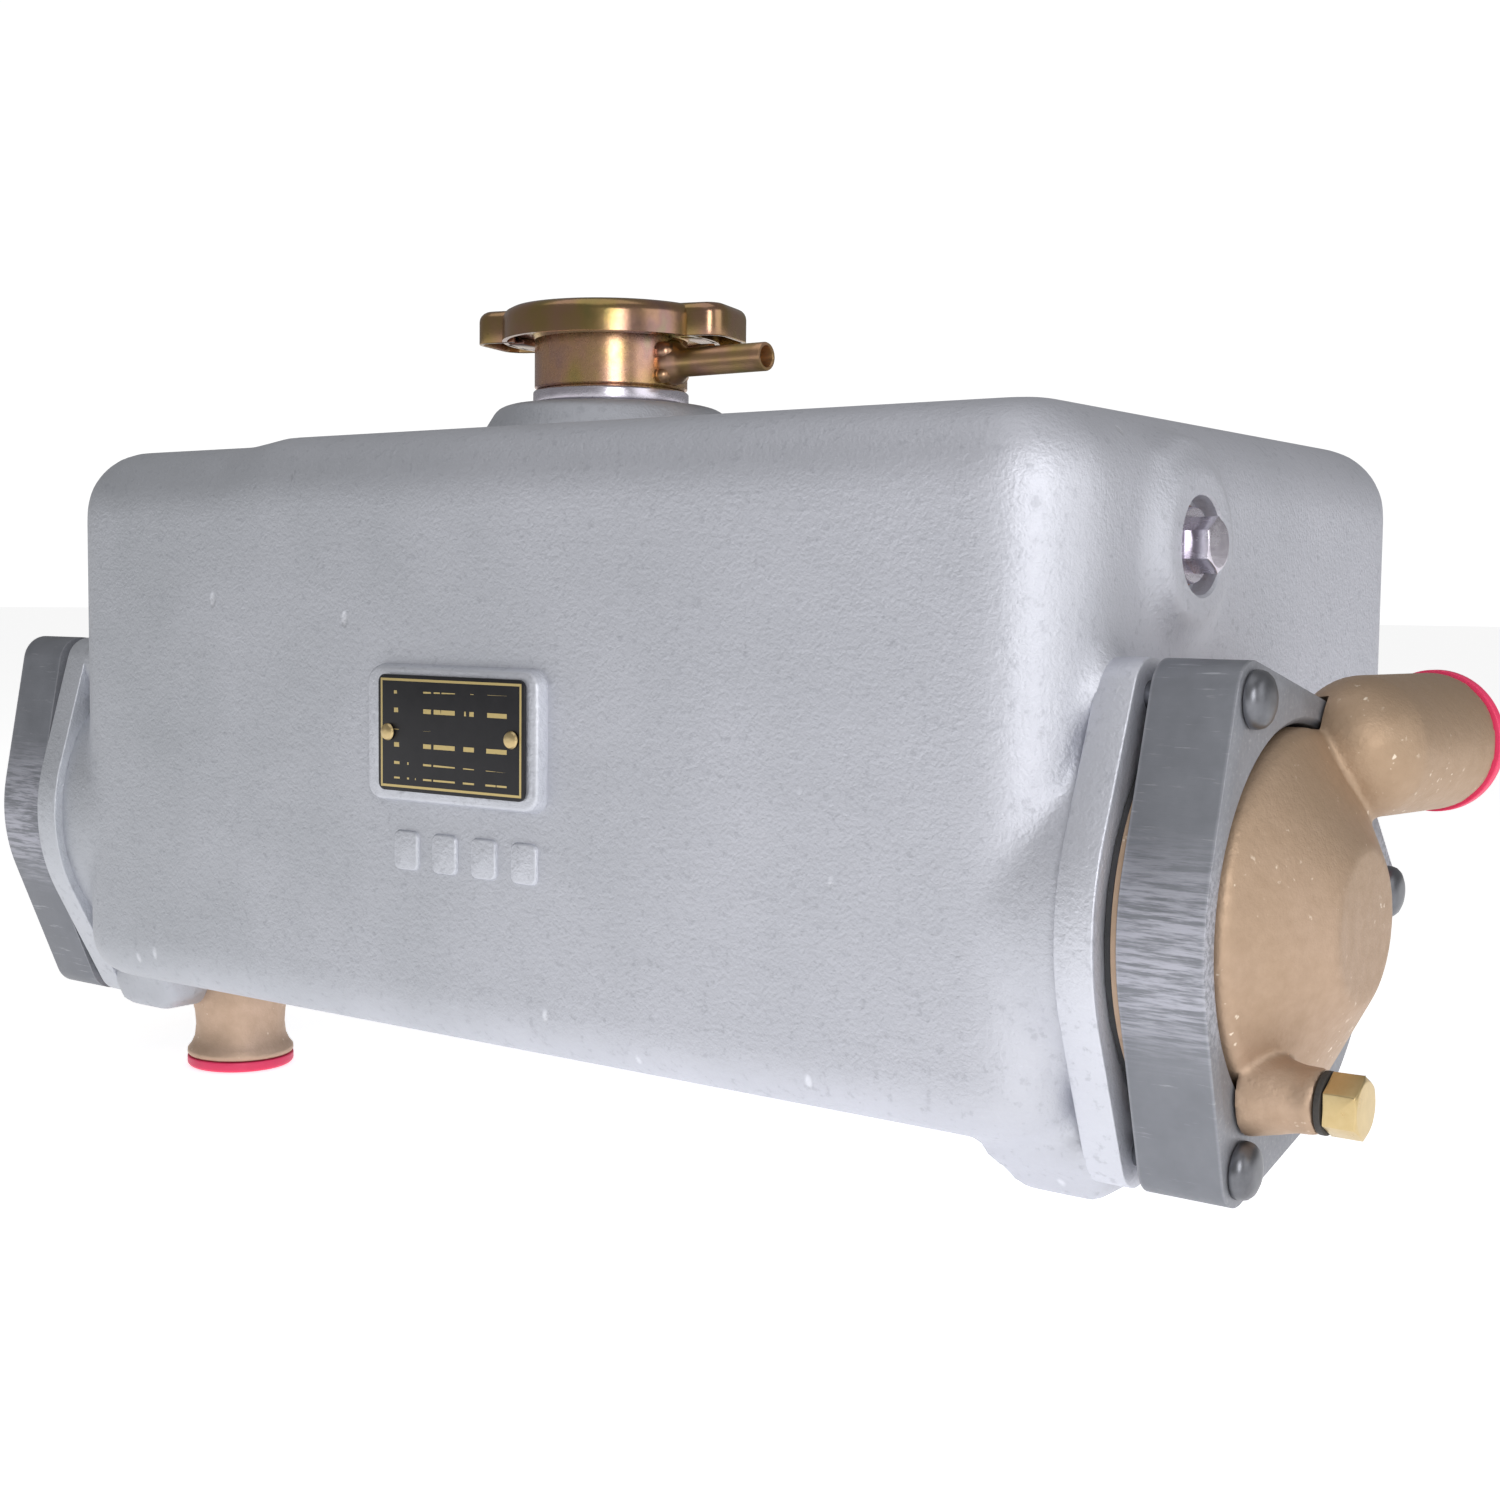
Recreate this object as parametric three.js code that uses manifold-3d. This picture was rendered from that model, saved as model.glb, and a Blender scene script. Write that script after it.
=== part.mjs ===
// Header tank heat exchanger: a cast coolant tank with a shell-and-tube cooler along its lower front
// edge. X runs along the cooler, +Y to the back, +Z up, in millimetres. The origin is midway between
// the two mounting feet, on the plane they stand on.
import * as THREE from 'three';
import { mergeVertices } from 'three/addons/utils/BufferGeometryUtils.js';
import Module from 'manifold-3d';

const wasm = await Module();
wasm.setup();

// ---- Driving dimensions ------------------------------------------------------------------------
const GAP = 0.3; // clearance between pieces that touch
const ROUND = 32; // facets round a large circle
const SMALL = 16; // facets round a small one
const AXIS_HEIGHT = 58.5; // cooler axis above the feet; all places below are taken from that axis

const TANK_LENGTH = 319;
const HALF = TANK_LENGTH / 2;
const TANK_DEPTH = 196;
const FRONT_REACH = 47; // cooler axis to the front face
const TANK_TOP = 105.4;
const TOP_STEP = 2; // the left end of the top is this much lower
const TOP_STEP_X = -85;
const OVERHANG_Z = 18; // underside of the tank behind the cooler
const LOWER_EDGE = -46.4;
const WALL = 6;
const CORNER_R = 20; // upright corners
const TOP_ROUND = 18;
const BOTTOM_ROUND = 12;

const BORE_R = 39;
const PORT_AT = HALF - 44.5; // ports between the tank and the cooler
const BARREL_R = 47;
const FLANGE_PROUD = 8.7; // the machined end stands this far out of the tank's end
const FLANGE_FACE = HALF + FLANGE_PROUD;
const FLANGE_DEPTH = 8.4;
const SCREW_CIRCLE_R = 52.9;
const SCREW_ANGLES = [0, 120, 240]; // from +Y towards +Z
const LEFT_TURN = 6; // the left end's lugs stand this many degrees further round
const EAR_R = 7.5;
const FLANGE_R = 49.3;
const SCREW_R = 3;
const SCREW_DEPTH = 14; // thread in the casting
const SCREW_BOSS = 24; // length of the casting's boss behind each lug

const SEAL_THICKNESS = 1.2;
const COVER_FLANGE = 1.1;
const COVER_FLANGE_R = 45.2;
const RING_R = 46;
const RING_BORE_R = 40;
const RING_THICKNESS = 18;
const COVER_NECK_R = RING_BORE_R - 0.6;
const COVER_TIP_R = 15.5;
const COVER_TIP = 33.7; // flange back to the flat tip
const COVER_WALL = 4;

const PIPE_R = 15;
const PIPE_BORE_R = 12.5;
const PIPE_MOUTH_DEPTH = 9;
const PIPE_INNER_R = 7.5;
const PIPE_Z = 34.5;
const PIPE_START = { out: 24.5, y: 22 }; // out is measured from the cover's flange back
const PIPE_END = { out: 29.4, y: 51 };

const DRAIN_AT = { y: -22, z: -31 }; // on the right; the left cover has its drain behind the axis
const DRAIN_BOSS_R = 6.5;
const DRAIN_HEX = 11;
const DRAIN_HEAD = 6.6;
const DRAIN_THREAD_R = 3.1;
const WASHER_THICKNESS = 1.3;

const NECK_AT = { x: -37, y: 51 };
const NECK_R = 21.8;
const NECK_WALL = 1.5;
const COLLAR_BORE_R = NECK_R - 1.6;
const COLLAR_TOP = 122.2;
const BOSS_TOP = 118;
const BOSS_R = NECK_R + 12.2;
const NECK_RIM_R = NECK_R + 6.6;
const NECK_RIM_Z = 138;
const NECK_RIM = 1.4;
const NECK_SEAT_Z = 121.5;
const NECK_SEAT_R = NECK_R - 7.8;
const OVERFLOW_Z = 129.2;
const OVERFLOW_R = 3.9;
const OVERFLOW_BORE_R = 2.8;
const OVERFLOW_END = NECK_R + 33; // from the neck's axis
const CAP_R = NECK_RIM_R + 2.6;
const CAP_EAR_REACH = CAP_R + 7.5;
const CAP_EAR_WIDTH = 24;
const CAP_ANGLE = 15; // direction of the ears from +X
const CAP_TOP = 145.8;

const END_BOSS_AT = { y: 8, z: 76.3 };
const END_BOSS_R = 18;
const END_BOSS_RISE = 4;
const END_RECESS_R = 10.6;
const END_RECESS_DEPTH = 5;
const END_PLUG_HEX = 10.5;
const END_PLUG_HEAD = 7;
const END_PLUG_FLANGE_R = 8.2;
const END_PLUG_FLANGE = 1.4;
const END_PLUG_THREAD_R = 5;

const FOOT_INNER = HALF - 31.5; // where a foot starts along X
const FOOT_OUTER = HALF + 1.5;
const FOOT_HALF_WIDTH = 28;
const FOOT_HOLE_AT = { x: HALF - 9.5, y: 20 };
const FOOT_HOLE_R = 4;
const FOOT_HOLE_DEPTH = 10;

const STUB_R = 14;
const STUB_LENGTH = 16; // seen outside the casting
const STUB_SOCKET = 8;
const STUB_LIP_R = 15.6;
const STUB_BORE_R = 11.5;
const STUB_MOUTH_R = 12.5;
const OUTLET_X = 20.5 - HALF;
const INLET_AT = { x: 110, z: 62 };
const INLET_BOSS_R = 19;
const INLET_BOSS_RISE = 8;

const PLATE = { x: -24.4, z: 16.3, width: 48.3, height: 28.3, thickness: 0.8 };
const PAD = { x: -29.3, z: 14, width: 56, height: 32.4, rise: 3, slope: 1.5 };
const PLATE_RIVETS = [{ x: -20.6, z: 30.6 }, { x: 20.2, z: 30.6 }];
const RIVET_R = 1;
const MARKS = { x: -23, z: -4, width: 9, pitch: 13, count: 4, height: 10.6, rise: 0.8 };

const TUBE_PITCH = 24;
const TUBE_R = 7;
const TUBE_BORE_R = 6;
const TUBE_SIDES = 8;
const TUBE_PLATE = 5;
const BAFFLE_XS = [-75, 0, 75];
const BAFFLE_THICKNESS = 2;

const SEAL_BACK = FLANGE_FACE + GAP;
const COVER_BACK = SEAL_BACK + SEAL_THICKNESS + GAP;
const RING_BACK = COVER_BACK + COVER_FLANGE + GAP;
const RING_FACE = RING_BACK + RING_THICKNESS;
const REAR = TANK_DEPTH - FRONT_REACH;

// ---- Materials ---------------------------------------------------------------------------------
const finish = (color, roughness, metalness) =>
  new THREE.MeshStandardMaterial({ color, roughness, metalness });
const CAST = finish(0xb9bcc2, 0.5, 0.8);
const RING_PAINT = finish(0x3c3d40, 0.45, 0.3);
const BRONZE = finish(0xa5876a, 0.6, 0.7);
const BRASS = finish(0xc9a24a, 0.35, 0.9);
const COPPER = finish(0xb87350, 0.4, 0.9);
const YELLOW_ZINC = finish(0xc8a75a, 0.3, 0.9);
const BRIGHT_ZINC = finish(0xc9cbce, 0.3, 0.9);
const DARK_STEEL = finish(0x4a4a4d, 0.4, 0.8);
const SPRING_STEEL = finish(0x9a9ca0, 0.35, 0.9);
const RUBBER = finish(0x1c1c1e, 0.8, 0);
const RED_PLASTIC = finish(0xe23a62, 0.45, 0);
const PLATE_BLACK = finish(0x17181b, 0.4, 0.2);

// ---- Solids ------------------------------------------------------------------------------------
// Merges a geometry's shared vertices, drops the slivers at its poles and makes a solid of it.
function solid(geometry) {
  const bare = geometry.clone();
  bare.deleteAttribute('normal');
  bare.deleteAttribute('uv');
  const merged = mergeVertices(bare, 1e-4);
  const corners = merged.index.array;
  const kept = [];
  for (let i = 0; i < corners.length; i += 3) {
    const [a, b, c] = [corners[i], corners[i + 1], corners[i + 2]];
    if (a !== b && b !== c && c !== a) kept.push(a, b, c);
  }
  return new wasm.Manifold(new wasm.Mesh({
    numProp: 3,
    vertProperties: merged.attributes.position.array,
    triVerts: new Uint32Array(kept),
  }));
}

function geometryOf(shape) {
  const mesh = shape.getMesh();
  const geometry = new THREE.BufferGeometry();
  geometry.setAttribute('position', new THREE.BufferAttribute(new Float32Array(mesh.vertProperties), 3));
  geometry.setIndex(new THREE.BufferAttribute(new Uint32Array(mesh.triVerts), 1));
  return geometry;
}

function named(name, shape, material) {
  const mesh = new THREE.Mesh(geometryOf(shape), material);
  mesh.name = name;
  return mesh;
}

const join = (...shapes) => shapes.reduce((sum, shape) => sum.add(shape));
const cut = (shape, ...tools) => tools.reduce((rest, tool) => rest.subtract(tool), shape);

// A box between two corners.
function block([x0, y0, z0], [x1, y1, z1]) {
  const box = new THREE.BoxGeometry(x1 - x0, y1 - y0, z1 - z0);
  return solid(box.translate((x0 + x1) / 2, (y0 + y1) / 2, (z0 + z1) / 2));
}

// Turns a geometry built along +Z so that it runs along the given axis.
function aim(geometry, axis) {
  const to = { x: [1, 0, 0], y: [0, 1, 0], z: [0, 0, 1], '-x': [-1, 0, 0], '-z': [0, 0, -1] }[axis];
  const turn = new THREE.Quaternion().setFromUnitVectors(
    new THREE.Vector3(0, 0, 1), new THREE.Vector3(...to));
  return geometry.applyQuaternion(turn);
}

// A turned piece: [radius, distance] points, listed from the low end up on the outside.
function turned(profile, axis, [x, y, z], sides = SMALL, start = 0) {
  const points = profile.map(([r, h]) => new THREE.Vector2(r, h));
  const lathe = new THREE.LatheGeometry(points, sides, start);
  return solid(aim(lathe.rotateX(Math.PI / 2), axis).translate(x, y, z));
}

// A plain round bar from one distance to another along an axis.
const bar = (r, from, to, axis, centre, sides = SMALL) =>
  turned([[0, from], [r, from], [r, to], [0, to]], axis, centre, sides);

// A flat ring, given by its inner and outer radius.
const ring = (inner, outer, from, to, axis, centre, sides = SMALL) =>
  turned([[inner, from], [outer, from], [outer, to], [inner, to], [inner, from]], axis, centre, sides);

// A hexagon bar across flats `hex`, a flat towards the front, its outer end chamfered.
function hexHead(hex, from, to, axis, centre) {
  const r = hex / Math.sqrt(3);
  const prism = turned([[0, from], [r, from], [r, to], [0, to]], axis, centre, 6, Math.PI / 6);
  const chamfer = turned([[0, from], [r + 1, from], [r + 1, to - 2], [hex / 2 - 0.4, to], [0, to]],
    axis, centre, 12);
  return prism.intersect(chamfer);
}

function roundedRectangle(x0, y0, x1, y1, r) {
  const shape = new THREE.Shape();
  shape.absarc(x1 - r, y0 + r, r, -Math.PI / 2, 0);
  shape.absarc(x1 - r, y1 - r, r, 0, Math.PI / 2);
  shape.absarc(x0 + r, y1 - r, r, Math.PI / 2, Math.PI);
  shape.absarc(x0 + r, y0 + r, r, Math.PI, Math.PI * 1.5);
  return shape;
}

// A block with rounded upright corners, and its level edges rounded by `round`.
function softBlock([x0, y0, z0], [x1, y1, z1], corner, round) {
  const extruded = new THREE.ExtrudeGeometry(roundedRectangle(x0, y0, x1, y1, corner), {
    depth: z1 - z0 - 2 * round,
    bevelThickness: round,
    bevelSize: round,
    bevelOffset: -round,
    bevelSegments: 3,
    curveSegments: 2,
  });
  return solid(extruded.translate(0, 0, z0 + round));
}

const screwAngles = (side) => SCREW_ANGLES.map((degrees) =>
  THREE.MathUtils.degToRad(degrees + (side < 0 ? LEFT_TURN : 0)));

// Outline of a ring with a lug round each screw: the arcs of the ring and of the lugs, joined by the
// straight lines that touch both. The shape's x is +Y and its y is +Z.
function luggedOutline(side, mainR, lugR) {
  const shape = new THREE.Shape();
  const touch = Math.acos((mainR - lugR) / SCREW_CIRCLE_R);
  const angles = screwAngles(side);
  angles.forEach((at, i) => {
    const next = i === 2 ? angles[0] + 2 * Math.PI : angles[i + 1];
    shape.absarc(SCREW_CIRCLE_R * Math.cos(at), SCREW_CIRCLE_R * Math.sin(at), lugR, at - touch, at + touch);
    shape.absarc(0, 0, mainR, at + touch, next - touch);
  });
  return shape;
}

// The lugged outline as a slab along X, between two distances out from the middle, on one side.
function luggedSlab(side, from, to, mainR, lugR, bevel = 0) {
  const extruded = new THREE.ExtrudeGeometry(luggedOutline(side, mainR, lugR), {
    depth: to - from - 2 * bevel,
    bevelEnabled: bevel > 0,
    bevelThickness: bevel,
    bevelSize: bevel,
    bevelOffset: -bevel,
    bevelSegments: 1,
    curveSegments: 4,
  });
  // Local x, y, z become +Y, +Z, +X.
  const lie = new THREE.Matrix4().makeBasis(
    new THREE.Vector3(0, 1, 0), new THREE.Vector3(0, 0, 1), new THREE.Vector3(1, 0, 0));
  extruded.applyMatrix4(lie);
  extruded.translate(side > 0 ? from + bevel : -to + bevel, 0, 0);
  return solid(extruded);
}

const screwPlaces = (side) => screwAngles(side).map((at) => (
  { y: SCREW_CIRCLE_R * Math.cos(at), z: SCREW_CIRCLE_R * Math.sin(at) }));

// ---- Casting -----------------------------------------------------------------------------------
function foot(side) {
  const profile = new THREE.Shape([
    [FOOT_INNER - 2, LOWER_EDGE + 4], [FOOT_INNER + 2, -AXIS_HEIGHT + 8], [FOOT_INNER + 8, -AXIS_HEIGHT + 2],
    [FOOT_INNER + 12, -AXIS_HEIGHT], [FOOT_OUTER - 3, -AXIS_HEIGHT], [FOOT_OUTER, -AXIS_HEIGHT + 2],
    [FOOT_OUTER, LOWER_EDGE + 12], [FOOT_INNER - 2, LOWER_EDGE + 12],
  ].map(([x, z]) => new THREE.Vector2(x, z)));
  const extruded = new THREE.ExtrudeGeometry(profile, {
    depth: 2 * FOOT_HALF_WIDTH - 4, bevelThickness: 2, bevelSize: 2, bevelOffset: -2, bevelSegments: 1,
  });
  extruded.rotateX(Math.PI / 2).translate(0, FOOT_HALF_WIDTH - 2, 0);
  if (side < 0) extruded.rotateZ(Math.PI);
  return solid(extruded);
}

function neckBoss() {
  return turned([
    [0, TANK_TOP - WALL], [BOSS_R + 12, TANK_TOP - WALL], [BOSS_R + 11, TANK_TOP - 1.5],
    [BOSS_R + 6, TANK_TOP + 1], [BOSS_R + 2.2, TANK_TOP + 4.5], [BOSS_R, BOSS_TOP - 4],
    [BOSS_R - 1.8, BOSS_TOP - 1.4], [BOSS_R - 5, BOSS_TOP], [0, BOSS_TOP],
  ], 'z', [NECK_AT.x, NECK_AT.y, 0], ROUND);
}

function endBoss() {
  return turned([
    [0, -WALL], [END_BOSS_R + 5, -WALL], [END_BOSS_R + 5, 0.2], [END_BOSS_R + 1.6, 1.4],
    [END_BOSS_R, END_BOSS_RISE - 1.2], [END_BOSS_R - 1.2, END_BOSS_RISE],
    [0, END_BOSS_RISE],
  ], 'x', [HALF, END_BOSS_AT.y, END_BOSS_AT.z]);
}

function namePad() {
  const shape = roundedRectangle(PAD.x, PAD.z, PAD.x + PAD.width, PAD.z + PAD.height, 4);
  const extruded = new THREE.ExtrudeGeometry(shape, {
    depth: 4, bevelThickness: PAD.rise, bevelSize: PAD.slope, bevelOffset: -PAD.slope,
    bevelSegments: 1, curveSegments: 2,
  });
  return solid(extruded.rotateX(Math.PI / 2).translate(0, -FRONT_REACH + 4, 0));
}

// Plain raised bars where a casting carries its marks.
function castMarks() {
  const bars = [];
  for (let i = 0; i < MARKS.count; i += 1) {
    const x = MARKS.x + i * MARKS.pitch;
    bars.push(block([x, -FRONT_REACH - MARKS.rise, MARKS.z],
      [x + MARKS.width, -FRONT_REACH + 1, MARKS.z + MARKS.height]));
  }
  return join(...bars);
}

function castingOutside() {
  const tank = softBlock([-HALF, -FRONT_REACH, OVERHANG_Z], [HALF, REAR, TANK_TOP - TOP_STEP],
    CORNER_R, TOP_ROUND);
  const highTop = softBlock([TOP_STEP_X, -FRONT_REACH, OVERHANG_Z], [HALF, REAR, TANK_TOP],
    CORNER_R, TOP_ROUND);
  const lower = softBlock([-HALF, -FRONT_REACH, LOWER_EDGE],
    [HALF, FRONT_REACH, TANK_TOP - TOP_ROUND - TOP_STEP], CORNER_R, BOTTOM_ROUND);
  const barrel = bar(BARREL_R, -FLANGE_FACE, FLANGE_FACE, 'x', [0, 0, 0], ROUND);
  const flanges = [-1, 1].map((side) =>
    luggedSlab(side, FLANGE_FACE - FLANGE_DEPTH, FLANGE_FACE, FLANGE_R, EAR_R, 0.8));
  const screwBosses = [-1, 1].flatMap((side) => screwPlaces(side).map(({ y, z }) =>
    bar(EAR_R + 0.5, FLANGE_FACE - SCREW_BOSS, FLANGE_FACE - 1, sideAxis(side), [0, y, z])));
  const inletBoss = bar(INLET_BOSS_R, REAR - WALL, REAR + INLET_BOSS_RISE, 'y',
    [INLET_AT.x, 0, INLET_AT.z]);
  return join(tank, highTop, lower, barrel, ...flanges, ...screwBosses, foot(-1), foot(1), neckBoss(),
    endBoss(), namePad(), castMarks(), inletBoss);
}

// The coolant space, kept clear of the cooler's own wall, and the ports that let it through.
function castingInside() {
  const space = cut(
    softBlock([-HALF + WALL, -FRONT_REACH + WALL, OVERHANG_Z + WALL],
      [HALF - WALL, REAR - WALL, TANK_TOP - TOP_STEP - WALL], CORNER_R - WALL, TOP_ROUND - WALL),
    bar(BORE_R + WALL, -HALF, HALF, 'x', [0, 0, 0], ROUND));
  const bore = bar(BORE_R, -FLANGE_FACE - 1, FLANGE_FACE + 1, 'x', [0, 0, 0], ROUND);
  const ports = [-1, 1].map((side) =>
    block([side * PORT_AT - 12, -10, BORE_R - 4], [side * PORT_AT + 12, 10, BORE_R + WALL + 3]));
  const neckHole = bar(COLLAR_BORE_R, TANK_TOP - WALL - 4, BOSS_TOP + 1, 'z',
    [NECK_AT.x, NECK_AT.y, 0], ROUND);
  const plugHole = bar(END_PLUG_THREAD_R + GAP, -WALL - 1, END_BOSS_RISE + 1, 'x',
    [HALF, END_BOSS_AT.y, END_BOSS_AT.z]);
  const recess = bar(END_RECESS_R, END_BOSS_RISE - END_RECESS_DEPTH, END_BOSS_RISE + 1, 'x',
    [HALF, END_BOSS_AT.y, END_BOSS_AT.z], ROUND);
  return [space, bore, ...ports, neckHole, plugHole, recess];
}

function castingHoles() {
  const holes = [];
  for (const side of [-1, 1]) {
    for (const { y, z } of screwPlaces(side)) {
      const ends = [side * (FLANGE_FACE - SCREW_DEPTH - 1), side * (FLANGE_FACE + 1)];
      holes.push(bar(SCREW_R + GAP, Math.min(...ends), Math.max(...ends), 'x', [0, y, z], 16));
    }
    for (const y of [-FOOT_HOLE_AT.y, FOOT_HOLE_AT.y]) {
      holes.push(bar(FOOT_HOLE_R, -AXIS_HEIGHT - 1, -AXIS_HEIGHT + FOOT_HOLE_DEPTH, 'z',
        [side * FOOT_HOLE_AT.x, y, 0], 20));
    }
  }
  for (const { x, z } of PLATE_RIVETS) {
    holes.push(bar(RIVET_R + GAP, -FRONT_REACH - PAD.rise - 1, -FRONT_REACH + 1, 'y', [x, 0, z], 12));
  }
  holes.push(
    bar(STUB_R + GAP, -AXIS_HEIGHT - 1, -AXIS_HEIGHT + STUB_SOCKET, 'z', [OUTLET_X, 0, 0]),
    bar(STUB_BORE_R, -AXIS_HEIGHT, -BORE_R + 6, 'z', [OUTLET_X, 0, 0]),
    bar(STUB_R + GAP, REAR + INLET_BOSS_RISE - STUB_SOCKET, REAR + INLET_BOSS_RISE + 1, 'y',
      [INLET_AT.x, 0, INLET_AT.z]),
    bar(STUB_BORE_R, REAR - WALL - 2, REAR + INLET_BOSS_RISE, 'y', [INLET_AT.x, 0, INLET_AT.z]));
  return holes;
}

const headerTank = () =>
  named('header_tank', cut(castingOutside(), ...castingInside(), ...castingHoles()), CAST);

// ---- Tube stack --------------------------------------------------------------------------------
const tubePlaces = [];
for (let row = -1; row <= 1; row += 1) {
  const inRow = 3 - Math.abs(row);
  for (let i = 0; i < inRow; i += 1) {
    tubePlaces.push([(i - (inRow - 1) / 2) * TUBE_PITCH, row * TUBE_PITCH * Math.sqrt(3) / 2]);
  }
}

function tubeStack() {
  const end = FLANGE_FACE - GAP;
  const plates = [-1, 1].map((side) => {
    const ends = [side * (end - TUBE_PLATE), side * end];
    return bar(BORE_R - GAP, Math.min(...ends), Math.max(...ends), 'x', [0, 0, 0], ROUND);
  });
  const tubes = tubePlaces.map(([y, z]) => bar(TUBE_R, -end, end, 'x', [0, y, z], TUBE_SIDES));
  const bores = tubePlaces.map(([y, z]) => bar(TUBE_BORE_R, -end - 1, end + 1, 'x', [0, y, z], TUBE_SIDES));
  return named('tube_stack', cut(join(...plates, ...tubes), ...bores), COPPER);
}

// A disc across the tubes, cut away on alternate sides so that the coolant winds past them.
function baffle(x, i) {
  const open = i % 2 ? 1 : -1;
  const disc = bar(BORE_R - GAP, x - BAFFLE_THICKNESS / 2, x + BAFFLE_THICKNESS / 2, 'x', [0, 0, 0], ROUND);
  const window = block([x - 5, -BORE_R, Math.min(open * 20, open * 60)],
    [x + 5, BORE_R, Math.max(open * 20, open * 60)]);
  const holes = tubePlaces.map(([y, z]) => bar(TUBE_R + GAP, x - 5, x + 5, 'x', [0, y, z], TUBE_SIDES));
  return named(`baffle_${i + 1}`, cut(disc, window, ...holes), COPPER);
}

// ---- Ends of the cooler ------------------------------------------------------------------------
const sideName = (side) => (side > 0 ? 'right' : 'left');
const sideAxis = (side) => (side > 0 ? 'x' : '-x');
const drainCentre = (side) => [0, side * DRAIN_AT.y, DRAIN_AT.z];

const endSeal = (side) => named(`end_seal_${sideName(side)}`,
  ring(BORE_R + 0.5, COVER_FLANGE_R - 0.4, SEAL_BACK, SEAL_BACK + SEAL_THICKNESS,
    sideAxis(side), [0, 0, 0], ROUND), RUBBER);

function pipeLine(side) {
  const from = new THREE.Vector3(side * (COVER_BACK + PIPE_START.out), PIPE_START.y, PIPE_Z);
  const to = new THREE.Vector3(side * (COVER_BACK + PIPE_END.out), PIPE_END.y, PIPE_Z);
  return { from, to, length: from.distanceTo(to), along: to.clone().sub(from).normalize() };
}

// A turned piece on the cooling-water pipe; distances run from the elbow's centre.
function onPipe(side, profile, sides = SMALL, shift = 0) {
  const { from, along } = pipeLine(side);
  const lathe = new THREE.LatheGeometry(profile.map(([r, h]) => new THREE.Vector2(r, h)), sides);
  lathe.applyQuaternion(new THREE.Quaternion().setFromUnitVectors(new THREE.Vector3(0, 1, 0), along));
  return solid(lathe.translate(from.x + side * shift, from.y, from.z));
}

function endCover(side) {
  const axis = sideAxis(side);
  const back = COVER_BACK;
  const tip = back + COVER_TIP;
  const neck = RING_FACE + 0.2;
  const shell = turned([
    [0, back], [COVER_FLANGE_R, back], [COVER_FLANGE_R, back + COVER_FLANGE],
    [COVER_NECK_R, back + COVER_FLANGE], [COVER_NECK_R, neck], [COVER_NECK_R - 1.6, neck + 1.4],
    [COVER_TIP_R + 1, tip - 0.4], [COVER_TIP_R, tip], [0, tip],
  ], axis, [0, 0, 0], ROUND);
  const chamber = turned([
    [0, back - 1], [COVER_NECK_R - COVER_WALL, back - 1], [COVER_NECK_R - COVER_WALL, neck - 4],
    [COVER_TIP_R - 1.5, tip - COVER_WALL], [0, tip - COVER_WALL],
  ], axis, [0, 0, 0], ROUND);
  const { from, length } = pipeLine(side);
  const elbow = solid(
    new THREE.SphereGeometry(PIPE_R, SMALL, SMALL / 2).translate(from.x, from.y, from.z));
  const pipe = onPipe(side, [[0, 0], [PIPE_R, 0], [PIPE_R, length], [0, length]]);
  const bossFace = tip + 0.3;
  const boss = bar(DRAIN_BOSS_R, neck, bossFace, axis, drainCentre(side));
  // Keeps everything off the clamp ring's face.
  const ringRelief = cut(
    luggedSlab(side, back + COVER_FLANGE, RING_FACE + 0.6, RING_R + 1, EAR_R + 1),
    bar(COVER_NECK_R, back, RING_FACE + 2, axis, [0, 0, 0], ROUND));
  const reliefShift = 4.2; // the passage keeps off the flat that clears the ring
  const bottom = length - PIPE_MOUTH_DEPTH;
  const passage = onPipe(side, [[0, 0], [PIPE_INNER_R, 0], [PIPE_INNER_R, bottom + 1], [0, bottom + 1]],
    12, reliefShift);
  const mouth = onPipe(side, [[0, bottom], [PIPE_BORE_R, bottom], [PIPE_BORE_R, length + 1],
    [0, length + 1]]);
  const turn = solid(new THREE.SphereGeometry(PIPE_INNER_R, 12, 6)
    .translate(from.x + side * reliefShift, from.y, from.z));
  // The way from the chamber up into the elbow.
  const root = new THREE.Vector3(side * (back + 16), 10, 14);
  const bend = new THREE.Vector3(from.x + side * reliefShift, from.y, from.z);
  const r = PIPE_INNER_R - 1;
  const inlet = solid(new THREE.CylinderGeometry(r, r, root.distanceTo(bend), 16)
    .applyQuaternion(new THREE.Quaternion().setFromUnitVectors(
      new THREE.Vector3(0, 1, 0), bend.clone().sub(root).normalize()))
    .translate((root.x + bend.x) / 2, (root.y + bend.y) / 2, (root.z + bend.z) / 2));
  const drain = bar(DRAIN_THREAD_R + GAP, back + 18, bossFace + 1, axis, drainCentre(side), 20);
  const cover = cut(join(shell, elbow, pipe, boss), ringRelief, chamber, passage, mouth, turn, inlet, drain);
  return named(`end_cover_${sideName(side)}`, cover, BRONZE);
}

function clampRing(side) {
  const slab = luggedSlab(side, RING_BACK, RING_FACE, RING_R, EAR_R, 1.2);
  const hole = turned([
    [0, RING_BACK - 1], [RING_BORE_R, RING_BACK - 1], [RING_BORE_R, RING_FACE - 1.4],
    [RING_BORE_R + 2.4, RING_FACE + 1], [0, RING_FACE + 1],
  ], sideAxis(side), [0, 0, 0], ROUND);
  const holes = screwPlaces(side).map(({ y, z }) =>
    bar(SCREW_R + 0.4, RING_BACK - 1, RING_FACE + 1, sideAxis(side), [0, y, z], 16));
  return named(`clamp_ring_${sideName(side)}`, cut(slab, hole, ...holes), RING_PAINT);
}

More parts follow.
